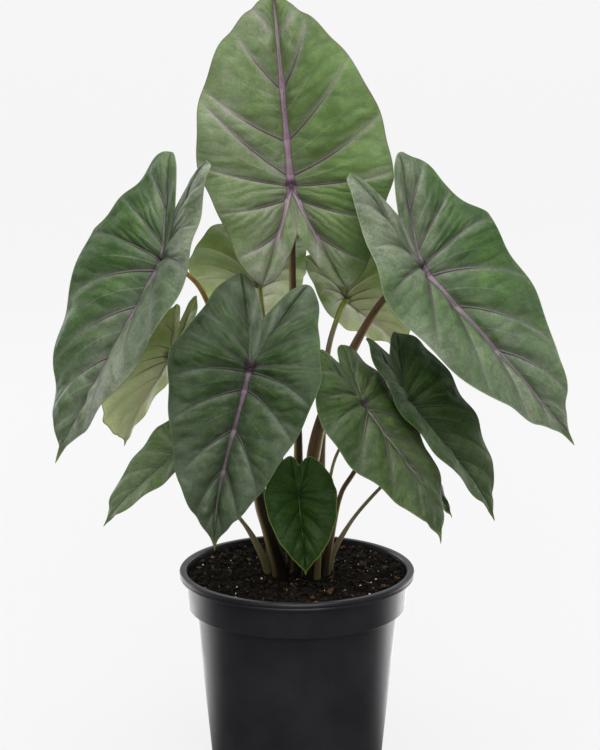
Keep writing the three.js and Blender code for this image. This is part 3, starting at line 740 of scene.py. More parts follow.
def make_blade(name, leaf, materials):
    """A closed blade: the middle surface moved along its normals to an upper and a lower face, and a wall."""
    axes = leaf_axes(leaf)
    rows, columns, inner_columns = BIG_GRID if name in BIG_LEAVES else SMALL_GRID
    sheets = [
        (vein_sheet(leaf, axes, outer, side, rows, columns if outer else inner_columns), side)
        for side in (1, -1) for outer in (True, False)]
    points, triangles, at = join_sheets(sheets)
    middle, upper, lower = blade_relief(leaf, axes, points, at)
    at["heart"] = np.linalg.norm(points - axes["at"], axis=1)
    points = points + point_normals(points, triangles) * middle[:, None]
    normals = point_normals(points, triangles)
    half_thickness = EDGE_HALF_THICKNESS + EXTRA_HALF_THICKNESS * smooth_step(0, 6, at["edge"])
    top = points + normals * (half_thickness + upper)[:, None]
    under = points - normals * (half_thickness + lower)[:, None]
    both_faces = draw_in(np.vstack([top, under]), axes["at"])
    count = len(points)
    a, b = open_edges(triangles).T
    wall = np.vstack([np.stack([b, a, a + count], -1), np.stack([b, a + count, b + count], -1)])
    faces = np.vstack([triangles, triangles[:, ::-1] + count, wall])
    kinds = np.repeat([0, 1, 0], [len(triangles), len(triangles), len(wall)])
    kept = {label: np.tile(at[label], 2) for label in LEAF_READS}
    return make_object(f"leaf_{name}", both_faces, faces, materials, kept, kinds)


# %% [markdown]
# ## Leaf finish: masks that every leaf shares
#
# On the real plant the colour follows the veins: a mauve haze lies along the ribs and thins out over the
# green, and a fine line edges the margin. Over that comes painted shade: a dark line on the lower flank of
# each raised vein, darker edges along the ribs, and bands above each vein and beside the ribs. Painted
# sheen pales the half of a leaf that is turned to the light. Because all leaves need the same masks, they
# are one node group that reads the distances kept on the mesh.

# %% Leaf mask group
MASKS = (
    "Rib", "Rib shade line", "Lobe", "Core", "Vein", "Vein shade line", "Haze and sheen", "Margin", "Heart", "Tip", "Fore", "Shade",
    "Streak", "Grain", "Fold", "Crest", "Mottle", "Minor", "Band", "Height")


def make_leaf_masks():
    """Masks from the distances on the mesh, and a height for the finest ripples."""
    group, net, out = new_group("leaf masks", MASKS)
    rib, vein, reach, phase, spine, cord, fore, edge, fading, painted_sheen, lower, minor, shade, heart = (
        net.attribute(label) for label in LEAF_READS)
    place = net.place()
    along = net.vector(phase, net.times(reach, 3.6), net.times(fore, 5.0))
    streak = net.noise(along, 1.1, 4.0, 0.6)
    grain = net.noise(along, 3.4, 4.0, 0.7)
    cloud = net.noise(place, 60.0, 4.0, 0.6)
    mottle = net.noise(place, 480.0, 4.0, 0.7)

    near_vein = net.times(net.fall(vein, 0.0, 5.5), net.fall(reach, 0.75, 1.1))
    haze = net.times(net.fall(rib, 0.0, 24.0), net.rise(fore, 0.4, 0.9, 0.6, 0.2))
    haze = net.plus(haze, net.times(near_vein, 0.6), net.rise(streak, 0.35, 0.7, 0.0, 0.22))
    haze = net.times(haze, net.rise(cloud, 0.3, 0.65, 0.5, 1.1))
    # the painted sheen on the half turned to the light joins the mauve haze here
    haze = net.math("ADD", haze, net.times(painted_sheen, net.rise(cloud, 0.3, 0.6, 0.4, 0.8)), clamp=True)

    ridge = net.math("ABSOLUTE", net.math("SINE", net.times(phase, math.pi / 2)))
    calm = net.times(
        net.rise(vein, 0.6, 3.0), net.rise(cloud, 0.35, 0.6, 0.25, 1.0),
        net.rise(fore, -0.6, -0.15, 0.45, 1.0), net.fall(reach, 0.5, 1.3))
    off_rib = net.times(calm, net.rise(spine, 1.1, 2.2))
    before_end = net.rise(fore, -0.85, -0.45)
    # painted shade in a band beside the ribs, weaker on the half with painted sheen and in the lobes
    shade_beside_rib = net.times(
        net.fall(spine, 1.5, 9.0), net.math("SUBTRACT", 0.9, painted_sheen), net.rise(fore, -0.3, -0.05, 0.4, 1.0))
    minor = net.times(net.fall(minor, 0.15, 0.7), net.fall(reach, 0.3, 0.85))
    raised = net.plus(net.times(net.fall(cord, 0.1, 1.3), fading, 1.8), net.times(minor, 0.5))
    net.fill(out, {
        "Rib": net.times(net.fall(spine, 0.75, 1.1), before_end),
        # painted shade: darker edges along both sides of each rib
        "Rib shade line": net.times(net.fall(spine, 1.05, 1.5), net.rise(spine, 0.55, 0.95), before_end),
        "Lobe": net.fall(fore, -0.12, -0.02),
        "Core": net.times(net.fall(spine, 0.2, 0.6), before_end),
        "Vein": net.times(net.fall(cord, 0.5, 1.1), fading),
        # painted shade: a dark line on the lower flank of each vein
        "Vein shade line": net.times(
            net.fall(cord, 1.4, 2.4), net.rise(lower, 0.2, 0.7), net.math("POWER", fading, 0.7)),
        "Haze and sheen": haze,
        "Margin": net.fall(edge, 0.3, 0.8),
        "Heart": net.fall(heart, 2.0, 6.5),
        "Tip": net.rise(fore, 0.9, 0.985),
        "Fore": fore,
        # Shade: painted shade above the veins and beside the ribs
        "Shade": net.times(net.math("MAXIMUM", shade, shade_beside_rib), net.rise(cloud, 0.3, 0.6, 0.5, 1.0)),
        "Streak": streak,
        "Grain": grain,
        # Fold: painted shade in the creases of the folds
        "Fold": net.times(net.fall(ridge, 0.08, 0.6), off_rib),
        # Crest: painted light on the crests of the folds
        "Crest": net.times(net.rise(ridge, 0.55, 1.0), off_rib),
        "Mottle": mottle,
        "Minor": minor,
        "Band": net.times(
            net.fall(vein, 0.4, 3.0), net.rise(reach, 0.2, 0.55), net.fall(reach, 0.75, 1.1)),
        "Height": net.plus(
            net.times(ridge, calm, 1.3), net.times(streak, 1.6), grain, net.times(mottle, 0.5), raised),
    })
    return group


LEAF_MASKS = make_leaf_masks()


def leaf_masks(net):
    """Places the mask group in a material and gives its outputs by name."""
    return net.node("ShaderNodeGroup", node_tree=LEAF_MASKS).outputs


print("leaf masks:", len(MASKS))

# %% [markdown]
# ## Upper and lower leaf materials
#
# Old leaves are pale and hazy, the full-grown ones mid green, the front ones dark, and the new ones a clean
# glossy green with pale veins. The crown's pale look is partly painted light. The front leaf's dark look
# and the left leaf's shaded copy of the full look are partly painted shade. Some leaves turn one half to
# the sky, and painted sheen makes that half paler. One function paints them all from a few named colours,
# in coats, as a painter would: painted shade in the creases and painted light on the crests of the folds,
# then veins, ribs and margin. The underside is pale and dull, with dark veins. Its lobes are a darker olive
# that is partly painted shade, and a painted shadow lies at the heart.

# %% Leaf materials
TONES = ("deep", "green", "bright", "haze", "vein", "flank", "lobe", "margin", "band")
TIP_OLIVE = (104, 122, 52)
USUAL_LOOK = dict(roughness=0.52, shine=0.3, veil=1.0, front_sheen=0.3, rib_fade=0.6)
LOOKS = {
    # the crown's pale look: its own pale green, lightened further with painted light
    "pale": dict(
        deep=(66, 88, 40), green=(89, 115, 59), bright=(108, 136, 71), haze=(147, 146, 135),
        vein=(136, 104, 129), flank=(60, 36, 52), lobe=(158, 128, 150), margin=(100, 80, 82),
        band=(146, 140, 132), roughness=0.55, shine=0.25, veil=0.9, front_sheen=0.0, rib_fade=0.4),
    "full": dict(
        deep=(34, 58, 20), green=(61, 92, 42), bright=(84, 117, 54), haze=(136, 142, 124),
        vein=(131, 107, 126), flank=(48, 32, 44), lobe=(108, 94, 102), margin=(130, 146, 104),
        band=(112, 112, 106), veil=0.9, front_sheen=0.35, rib_fade=0.5),
    # a darker copy of the full look for the left leaf: painted shade
    "full_shaded": dict(
        deep=(31, 54, 18), green=(53, 81, 36), bright=(73, 103, 46), haze=(139, 147, 127),
        vein=(126, 104, 121), flank=(48, 32, 44), lobe=(104, 92, 100), margin=(120, 134, 98),
        band=(108, 108, 103), veil=0.9, front_sheen=0.2, rib_fade=0.5),
    # the front leaf's dark look: its own dark green, darkened further with painted shade
    "dark": dict(
        deep=(22, 42, 10), green=(46, 67, 29), bright=(64, 90, 41), haze=(98, 109, 90),
        vein=(112, 88, 107), flank=(34, 20, 28), lobe=(74, 84, 64), margin=(88, 108, 68),
        band=(84, 90, 78), front_sheen=0.6, rib_fade=0.85),
    "young": dict(
        deep=(30, 50, 16), green=(56, 80, 31), bright=(80, 106, 47), haze=(92, 102, 78),
        vein=(112, 108, 96), flank=(48, 40, 36), lobe=(104, 116, 80), margin=(100, 116, 70),
        band=(92, 100, 80), roughness=0.5),
    "deep": dict(
        deep=(10, 32, 0), green=(22, 52, 3), bright=(44, 80, 14), haze=(102, 118, 84),
        vein=(84, 100, 66), flank=(26, 40, 18), lobe=(60, 78, 46), margin=(88, 110, 62),
        band=(56, 74, 42), roughness=0.55, shine=0.16, veil=0.45, front_sheen=1.0),
    "mild": dict(
        deep=(52, 78, 34), green=(88, 117, 62), bright=(110, 140, 76), haze=(136, 150, 116),
        vein=(148, 160, 132), flank=(74, 88, 58), lobe=(140, 152, 122), margin=(112, 120, 90),
        band=(132, 144, 112), roughness=0.5),
    "new": dict(
        deep=(16, 38, 0), green=(34, 64, 8), bright=(54, 90, 20), haze=(54, 78, 34),
        vein=(86, 110, 66), flank=(26, 44, 16), lobe=(60, 82, 42), margin=(118, 146, 62),
        band=(52, 72, 36), roughness=0.48, shine=0.2),
}
LOOKS = {label: {**USUAL_LOOK, **look} for label, look in LOOKS.items()}


def top_material(label, look):
    """Green from three tones, then painted shade in the creases, haze with painted sheen, painted light on
    the crests and painted shade by veins and ribs, then veins, ribs, margin and tip.
    """
    material, net, shader = new_material(f"leaf top {label}")
    masks = leaf_masks(net)
    deep, green, bright, haze, vein, flank, lobe, margin, band = (paint(*look[tone]) for tone in TONES)
    side_vein = paint(*(0.7 * np.array(look["vein"]) + 0.3 * np.array(look["flank"])))
    patch = net.noise(net.place(), 30.0, 5.0, 0.6)
    broad = net.rise(net.noise(net.place(), 13.0, 2.0), 0.36, 0.62, 0.35 * look["veil"], 1.1 * look["veil"])
    rib = net.coats(net.mix(masks["Lobe"], vein, lobe), [
        (net.rise(masks["Streak"], 0.4, 0.65, 0.0, 0.3), haze),
        (net.rise(masks["Fore"], 0.3, 0.8, 0.0, look["rib_fade"]), band)])
    colour = net.coats(green, [
        (net.rise(patch, 0.3, 0.5, 0.6, 0.0), deep),
        (net.rise(patch, 0.5, 0.68), bright),
        # painted shade in the creases
        (net.times(masks["Fold"], 0.52), deep),
        (net.times(masks["Haze and sheen"], broad), haze),
        # painted sheen: the haze colour thickens towards the front of the blade, which catches the light
        (net.rise(masks["Fore"], 0.15, 0.75, 0.0, look["front_sheen"]), haze),
        # painted light on the crests
        (net.times(masks["Crest"], 0.38), bright),
        # painted shade above the veins and beside the ribs
        (net.times(masks["Shade"], 0.62), deep),
        (net.rise(masks["Streak"], 0.3, 0.5, 0.18, 0.0), deep),
        (net.times(masks["Minor"], 0.25), haze),
        (net.times(masks["Band"], 0.3), band),
        (net.rise(masks["Grain"], 0.35, 0.6, 0.22, 0.0), deep),
        (net.rise(masks["Mottle"], 0.35, 0.65, 0.25, 0.0), deep),
        (net.times(masks["Vein"], 0.85), side_vein),
        # painted shade line on the lower flank of each vein
        (net.times(masks["Vein shade line"], 0.7), flank),
        (net.times(masks["Rib"], 0.85), rib),
        # painted shade along the edges of the ribs
        (net.times(masks["Rib shade line"], 0.5), flank),
        (net.times(masks["Heart"], 0.9), flank),
        (net.times(masks["Margin"], 0.7), margin),
        (net.times(masks["Tip"], 0.75), paint(*TIP_OLIVE))])
    smooth, dull = look["roughness"] - 0.05, look["roughness"] + 0.08
    net.fill(shader, {
        "Base Color": colour,
        "Roughness": net.rise(masks["Streak"], 0.3, 0.7, smooth, dull),
        "Specular IOR Level": look["shine"],
        "Normal": net.bump(masks["Height"], 0.8, 0.00024)})
    return material


def under_material():
    """Olive green on the lobes and pale grey-green in front, the lobes' darker olive being partly painted
    shade, with thin dark veins, a mauve haze by the ribs, painted shade by the veins and ribs, and a painted
    shadow at the heart."""
    material, net, shader = new_material("leaf underside")
    masks = leaf_masks(net)
    patch = net.rise(net.noise(net.place(), 34.0, 5.0, 0.6), 0.35, 0.65)
    # from the lobes' darker olive to the pale front: the underside's own colours, with painted shade on the
    # lobes
    forward = net.rise(masks["Fore"], -0.3, 0.35)
    lobes = net.mix(patch, paint(104, 132, 44), paint(134, 160, 66))
    front = net.mix(patch, paint(202, 209, 170), paint(224, 227, 196))
    # the darker tone for painted shade and for the random mottling
    shade_and_mottle = net.mix(forward, paint(108, 130, 62), paint(158, 168, 122))
    dark = paint(66, 50, 40)
    line = net.mix(net.rise(masks["Fore"], -0.1, 0.3), dark, paint(206, 194, 170))
    line = net.mix(net.fall(net.attribute("heart"), 8.0, 42.0), line, dark)
    colour = net.coats(net.mix(forward, lobes, front), [
        (net.times(masks["Haze and sheen"], 0.45), paint(188, 172, 152)),
        # painted shade above the veins and beside the ribs
        (net.times(masks["Shade"], 0.45), shade_and_mottle),
        (net.rise(masks["Grain"], 0.35, 0.6, 0.25, 0.0), shade_and_mottle),
        (net.rise(masks["Mottle"], 0.35, 0.65, 0.25, 0.0), shade_and_mottle),
        (net.times(masks["Vein"], 0.7), line),
        (net.times(masks["Core"], 0.6), line),
        # painted shadow of the stalk in the hollow at the heart
        (net.times(masks["Heart"], 0.8), paint(40, 30, 16)),
        (net.times(masks["Margin"], 0.6), paint(104, 96, 72))])
    net.fill(shader, {
        "Base Color": colour, "Roughness": 0.6, "Normal": net.bump(masks["Height"], 0.6, 0.0003),
        "Subsurface Weight": 0.5, "Subsurface Radius": (0.8, 1.0, 0.4), "Subsurface Scale": 0.0015})
    return material


UNDER = under_material()
TOPS = {label: top_material(label, look) for label, look in LOOKS.items()}
for name, leaf in LEAVES.items():
    blade = make_blade(name, leaf, [TOPS[leaf["look"]], UNDER])
    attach(blade, "root")
    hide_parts(f"blade_{name}")
    print(blade.name, "faces:", len(blade.data.polygons))


# %% [markdown]
# ## Stalks
#
# A stalk is a fleshy rod that tapers upwards, with a shallow channel on its inner face. It could be a curve
# with a bevel, but a profile carried along a path in numpy also gives every point its share of the height
# and its angle, which the finish needs. Where it meets the blade it is flattened into the blade's own
# plane.

# %% Stalk surface
STALK_RINGS = 110
STALK_SIDES = 24
STALK_ROOT = 27
STALK_SINK = 1.5
STALK_NECK = 12
CHANNEL_DEPTH = 0.13
CHANNEL_ANGLE = 1.5
CHANNEL_WIDTH = 0.55
HIGHLIGHT_WIDTH = 0.42


def carry_ring(centres, radii, sides, shape):
    """Rings of points round a path. Each ring is centre + r (u cos a + v sin a), where u is level and v is
    square to the path and to u. Shape gives a factor for the radius from ring number and angle."""
    run = np.gradient(centres, axis=0)
    run /= np.linalg.norm(run, axis=1, keepdims=True)
    u = np.cross(run, (0, 1, 0))
    u /= np.linalg.norm(u, axis=1, keepdims=True)
    v = np.cross(run, u)
    angle = 2 * np.pi * np.arange(sides) / sides
    factor = radii[:, None] * shape(np.arange(len(centres))[:, None], angle[None, :])
    points = centres[:, None] + factor[..., None] * (
        u[:, None] * np.cos(angle)[None, :, None] + v[:, None] * np.sin(angle)[None, :, None])
    return points, angle


def ring_faces(rings, sides):
    """Triangles between rings of points, and a fan at each end to a pole. The two poles are the points after
    the last ring."""
    number = np.arange(rings * sides).reshape(rings, sides)
    after = np.roll(number, -1, axis=1)
    a, b, c, d = number[:-1], after[:-1], after[1:], number[1:]
    first_pole, last_pole = (np.full(sides, rings * sides + i) for i in range(2))
    first_fan = number[0], first_pole, after[0]
    last_fan = number[-1], after[-1], last_pole
    fans = (a, b, c), (a, c, d), first_fan, last_fan
    return np.vstack([np.stack(corners, -1).reshape(-1, 3) for corners in fans])


def make_stalk(name, leaf, material):
    """A tapering rod along a Catmull-Rom path from the blade's heart down into the soil."""
    axes = leaf_axes(leaf)
    top = place_points(leaf, axes, np.zeros(1), np.zeros(1), np.zeros(1))[0]
    path = [top, *leaf["stalk"]]
    path.append(np.array(path[-1]) - (0, 0, STALK_ROOT))
    centres = curve_through(path, np.linspace(0, len(path) - 1, STALK_RINGS))
    height = np.clip((centres[:, 2] - SOIL) / (top[2] - SOIL), 0, 1)
    r_top, r_middle, r_soil = leaf["radii"]
    radii = np.interp(height, (0, 0.12, 0.4, 1), (r_soil, 0.8 * r_soil, r_middle, r_top))
    radii *= 1 + 0.25 * np.exp(-((1 - height) * (top[2] - SOIL) / 3.5) ** 2)
    wobble = soft_noise(centres, 26, leaf["seed"] + 80)

    def section(ring, angle):
        channel = CHANNEL_DEPTH * np.exp(-((angle - CHANNEL_ANGLE) / CHANNEL_WIDTH) ** 2)
        return 1 - channel + 0.03 * wobble[ring] + 0.02 * np.sin(3 * angle + 0.05 * ring)

    points, angle = carry_ring(centres, radii, STALK_SIDES, section)
    above = (points - top) @ axes["up"]
    near = np.linalg.norm(points - top, axis=-1) < STALK_NECK
    points -= np.where(near, np.maximum(above + STALK_SINK, 0), 0)[..., None] * axes["up"]
    points = np.vstack([points.reshape(-1, 3), points[0].mean(0), points[-1].mean(0)])
    # the angle of a painted highlight down the stalk, on its outer front side
    ridge = 2.5 if top[0] < 0 else 0.5
    everywhere = np.ones((STALK_RINGS, STALK_SIDES))
    length = np.linspace(0, 1, STALK_RINGS)
    values = {
        "share": np.append(height[:, None] * everywhere, (height[0], height[-1])),
        "length": np.append(length[:, None] * everywhere, (0, 1)),
        "around": np.append(angle * everywhere, (0, 0)),
        "ridge": np.append(np.exp(-((angle - ridge) / HIGHLIGHT_WIDTH) ** 2) * everywhere, (0, 0)),
    }
    return make_object(f"petiole_{name}", points, ring_faces(STALK_RINGS, STALK_SIDES), [material], values)


# %% [markdown]
# ## Stalk finish
#
# The stalks are brown with a purple cast, streaked lengthwise, and most turn olive to yellow-green just
# below the blade. The thin ones are olive almost all the way. A pale painted highlight runs down one side
# of each, and at the soil they are near-black, partly with painted shade. Streaks need a pattern that
# follows the stalk, so the noise reads the angle round it and the place along it.

# %% Stalk materials
# The low colour, at the soil, is each stalk's dark brown deepened with painted shade.
STALK_LOOKS = {
    "brown": dict(low=(12, 8, 3), middle=(38, 24, 11), top=(70, 46, 16)),
    "amber": dict(low=(14, 9, 3), middle=(60, 38, 10), top=(78, 50, 12)),
    "tan": dict(low=(24, 16, 9), middle=(94, 69, 47), top=(114, 86, 55)),
    "gold": dict(low=(26, 19, 8), middle=(114, 90, 44), top=(150, 124, 62)),
    "green_top": dict(low=(34, 28, 18), middle=(118, 102, 86), top=(132, 150, 62)),
    "olive": dict(low=(80, 74, 44), middle=(134, 124, 92), top=(136, 128, 96)),
}
STALK_OF = {
    "crown": "amber", "left": "gold", "right": "tan", "front": "brown", "front_right": "olive",
    "low_right": "tan", "small_front": "brown", "low_left": "olive", "back_left": "green_top",
    "back": "green_top", "back_right": "green_top", "hidden_right": "olive",
}


def stalk_material(label, look):
    """Three colours up the height, the lowest near-black at the soil and partly painted shade, broken by
    lengthwise streaks and small dark flecks, with a painted highlight down one side.
    """
    material, net, shader = new_material(f"stalk {label}")
    low, middle, top = (paint(*look[part]) for part in ("low", "middle", "top"))
    share, length, angle, ridge = (net.attribute(kept) for kept in ("share", "length", "around", "ridge"))
    round_stalk = net.vector(net.math("SINE", angle), net.math("COSINE", angle), net.times(length, 5.0))
    streak = net.noise(round_stalk, 2.4, 4.0, 0.6)
    fleck = net.noise(net.place(), 420.0, 2.0)
    colour = net.coats(low, [
        # the near-black low colour stays at the soil: the stalk's dark brown with painted shade
        (net.rise(share, 0.02, 0.4), middle),
        (net.rise(share, 0.84, 0.98), top),
        (net.rise(streak, 0.45, 0.65, 0.0, 0.6), low),
        (net.rise(fleck, 0.6, 0.72, 0.0, 0.4), paint(34, 24, 16)),
        # painted highlight down one side, stronger above the soil
        (net.times(ridge, net.rise(share, 0.0, 0.3, 0.2, 0.7)), paint(186, 164, 112))])
    net.fill(shader, {
        "Base Color": colour, "Roughness": net.rise(streak, 0.3, 0.7, 0.4, 0.52),
        "Specular IOR Level": 0.35, "Normal": net.bump(streak, 0.3, 0.0003)})
    return material


STALKS = {label: stalk_material(label, look) for label, look in STALK_LOOKS.items()}
for name, leaf in LEAVES.items():
    stalk = make_stalk(name, leaf, STALKS[STALK_OF[name]])
    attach(stalk, "root")
    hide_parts(f"stalk_{name}")
print("stalks:", len(LEAVES))

# %% [markdown]
# ## The pot
#
# A nursery pot is one thin moulding: a tapering body, a straight collar with a step under it, and a rim of
# two beads. It is a profile turned about the axis. The CAD pot has flat facets, so this one is turned in
# many more steps, with each corner of the profile rounded by a short arc.

# %% Pot surface
POT_SIDES = 200
# each corner is a radius, a height and a rounding
PROFILE = [
    (0, 0, 0), (58, 0, 0.5), (59, 1, 0.8), (71, 127.5, 0.4), (75.8, 128, 0.5), (76.4, 128.8, 0.5),
    (78, 149.4, 0.5), (81.6, 149.4, 0.35), (82.2, 150.1, 0.4), (82.2, 151.1, 0.4), (81.6, 151.8, 0.3),
    (82.5, 152.6, 0.4), (82.5, 154, 0.7), (81.6, 155, 0.7), (78.1, 155, 0.5), (77.5, 154.2, 0.5),
    (76.2, 147.9, 0.5), (74.6, 129, 0.5), (69.2, 126.5, 0.5), (57.5, 3.5, 0.5), (56, 2.5, 0.5), (0, 2.5, 0),
]


def rounded_profile(corners, steps=4):
    """The profile with each corner replaced by a quadratic arc that starts and ends its rounding away."""
    out = [corners[0][:2]]
    for before, corner, after in zip(corners, corners[1:], corners[2:]):
        p, c, n = (np.array(q[:2], float) for q in (before, corner, after))
        first = c + (p - c) * min(corner[2] / np.linalg.norm(p - c), 0.45)
        last = c + (n - c) * min(corner[2] / np.linalg.norm(n - c), 0.45)
        for s in np.linspace(0, 1, steps + 1):
            out.append(tuple((1 - s) ** 2 * first + 2 * s * (1 - s) * c + s * s * last))
    out.append(corners[-1][:2])
    return np.array(out)


def add_heights(profile, spacing=6.0):
    """Extra points on the long straight stretches, so that noise and light can follow them."""
    out = [profile[:1]]
    for a, b in zip(profile, profile[1:]):
        count = max(1, math.ceil(np.linalg.norm(b - a) / spacing))
        out.append(a + (b - a) * (np.arange(1, count + 1) / count)[:, None])
    return np.vstack(out)


def turn_profile(profile, sides):
    """Points and faces of a profile turned about the axis. The two end points are single poles."""
    angle = 2 * np.pi * np.arange(sides) / sides
    radius, height = profile[1:-1, 0, None], profile[1:-1, 1, None]
    rings = np.stack([radius * np.cos(angle), radius * np.sin(angle), height + 0 * angle], -1)
    poles = np.array([(0, 0, profile[0, 1]), (0, 0, profile[-1, 1])])
    return np.vstack([rings.reshape(-1, 3), poles]), ring_faces(len(rings), sides)


# %% Pot material
def pot_material():
    """Black plastic with a satin skin: soft cloudy wear, faint upright flow lines and a fine grain."""
    material, net, shader = new_material("black pot plastic")
    place = net.place()
    spread = net.node("ShaderNodeMapping", {"Vector": place, "Scale": (1.0, 1.0, 0.12)}).outputs[0]
    flow = net.noise(spread, 60.0, 3.0)
    cloud = net.noise(place, 22.0, 4.0, 0.6)
    dust = net.rise(net.noise(place, 260.0, 4.0, 0.7), 0.62, 0.78)
    colour = net.mix(net.rise(cloud, 0.3, 0.7), paint(33, 31, 36), paint(43, 41, 46))
    grain = net.plus(net.noise(place, 1500.0, 2.0), net.times(flow, 0.6))
    net.fill(shader, {
        "Base Color": net.mix(net.times(dust, 0.25), colour, paint(88, 84, 80)),
        "Roughness": net.plus(net.rise(cloud, 0.3, 0.75, 0.3, 0.4), net.rise(flow, 0.3, 0.7, -0.03, 0.04)),
        "Specular IOR Level": 0.32, "Normal": net.bump(grain, 0.12, 0.0002)})
    return material


pot_points, pot_faces = turn_profile(add_heights(rounded_profile(PROFILE)), POT_SIDES)
pot = make_object("moulded_pot", pot_points, pot_faces, [pot_material()])
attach(pot, "root")
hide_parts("pot")
print("pot faces:", len(pot.data.polygons))

# %% [markdown]
# ## Potting mix
#
# The mix is dark crumbs of peat and bark with white grains of perlite. Its top is a lumpy sheet on a round
# grid, and on it lie loose crumbs, chips of bark and the perlite, all drawn at random with a fixed seed.
# Each is a small stone: an icosphere pushed in and out, with few faces because there are hundreds.

# %% Soil surface
SOIL_RADIUS = 76.2
SOIL_FOOT_RADIUS = 75.3
SOIL_INSIDE = 77.5
SOIL_DEPTH = 6
SOIL_RINGS = 70
SOIL_SIDES = 220
SOIL_ROUGHNESS = 0.9


def soil_top(x, y):
    """The same broad lumps as the CAD soil, and a little higher by the pot's wall."""
    edge = np.hypot(x, y) / SOIL_INSIDE
    lumps = (
        0.5 * np.sin(x * 0.21 + 1.3) * np.cos(y * 0.26) + 0.35 * np.sin(x * 0.43 - y * 0.37)
        + 0.25 * np.cos(x * 0.11 + y * 0.62))
    return SOIL + 0.8 * edge ** 2 + 0.9 * lumps


def make_soil(material):
    """A closed body: a round grid for the lumpy top, a short side inside the pot and a flat underside."""
    radius = np.linspace(0, SOIL_RADIUS, SOIL_RINGS + 1)[1:, None]
    angle = 2 * np.pi * np.arange(SOIL_SIDES) / SOIL_SIDES
    x, y = radius * np.cos(angle), radius * np.sin(angle)
    flat = np.stack([x, y, 0 * x], -1)
    rough = 0.6 * soft_noise(flat, 5.5, 301) + 0.5 * soft_noise(flat, 2.6, 302, 16)
    rough += 0.8 * soft_noise(flat, 14, 303)
    z = soil_top(x, y) + SOIL_ROUGHNESS * rough
    foot = flat[-1:] * (SOIL_FOOT_RADIUS / SOIL_RADIUS) + (0, 0, SOIL - SOIL_DEPTH)
    rings = np.vstack([np.stack([x, y, z], -1), foot])
    poles = np.array([(0, 0, z[0].mean()), (0, 0, SOIL - SOIL_DEPTH)])
    points = np.vstack([rings.reshape(-1, 3), poles])
    faces = ring_faces(len(rings), SOIL_SIDES)[:, ::-1]
    return make_object("potting_mix", points, faces, [material])


def soil_material():
    """Near-black peat with brown fibres, damp and dull."""
    material, net, shader = new_material("potting mix")
    place = net.place()
    coarse = net.noise(place, 240.0, 5.0, 0.7)
    fine = net.noise(place, 1100.0, 3.0, 0.6)
    colour = net.mix(net.rise(coarse, 0.45, 0.68), paint(6, 5, 3), paint(27, 20, 12))
    net.fill(shader, {
        "Base Color": net.mix(net.rise(fine, 0.64, 0.8, 0.0, 0.5), colour, paint(72, 56, 38)),
        "Roughness": 0.85, "Specular IOR Level": 0.15,
        "Normal": net.bump(net.plus(coarse, fine), 1.0, 0.0015)})
    return material


soil = make_soil(soil_material())
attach(soil, "root")
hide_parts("soil")
print("soil faces:", len(soil.data.polygons))

# %% A small stone
def icosphere(levels):
    """Points and faces of a unit icosphere."""
    golden = (1 + math.sqrt(5)) / 2
    points = np.array([
        (-1, golden, 0), (1, golden, 0), (-1, -golden, 0), (1, -golden, 0),
        (0, -1, golden), (0, 1, golden), (0, -1, -golden), (0, 1, -golden),
        (golden, 0, -1), (golden, 0, 1), (-golden, 0, -1), (-golden, 0, 1)])
    faces = np.array([
        (0, 11, 5), (0, 5, 1), (0, 1, 7), (0, 7, 10), (0, 10, 11), (1, 5, 9), (5, 11, 4), (11, 10, 2),
        (10, 7, 6), (7, 1, 8), (3, 9, 4), (3, 4, 2), (3, 2, 6), (3, 6, 8), (3, 8, 9), (4, 9, 5), (2, 4, 11),
        (6, 2, 10), (8, 6, 7), (9, 8, 1)])
    for _ in range(levels):
        corners = points[faces]
        middles = (corners + np.roll(corners, -1, axis=1)) / 2
        soup = np.concatenate([corners, middles], axis=1).reshape(-1, 3)
        keys, same = np.unique(np.round(soup, 6), axis=0, return_inverse=True)
        a, b, c, ab, bc, ca = same.reshape(-1, 6).T
        faces = np.vstack([np.stack(q, -1) for q in ((a, ab, ca), (ab, b, bc), (ca, bc, c), (ab, bc, ca))])
        points = keys / np.linalg.norm(keys, axis=1, keepdims=True) * np.linalg.norm(corners[0, 0])
    return points / np.linalg.norm(points, axis=1, keepdims=True), faces


print("faces of a plain stone and of a finer one:", *(len(icosphere(levels)[1]) for levels in (0, 1)))

# %% Crumbs, bark and perlite
STONE_BUMP = 0.22
STONE_LEAN = 0.35
SMALL_ONES = 2.2
WALL_GAP = 2.5
STALK_GAP = 1.0
BED = 0.4


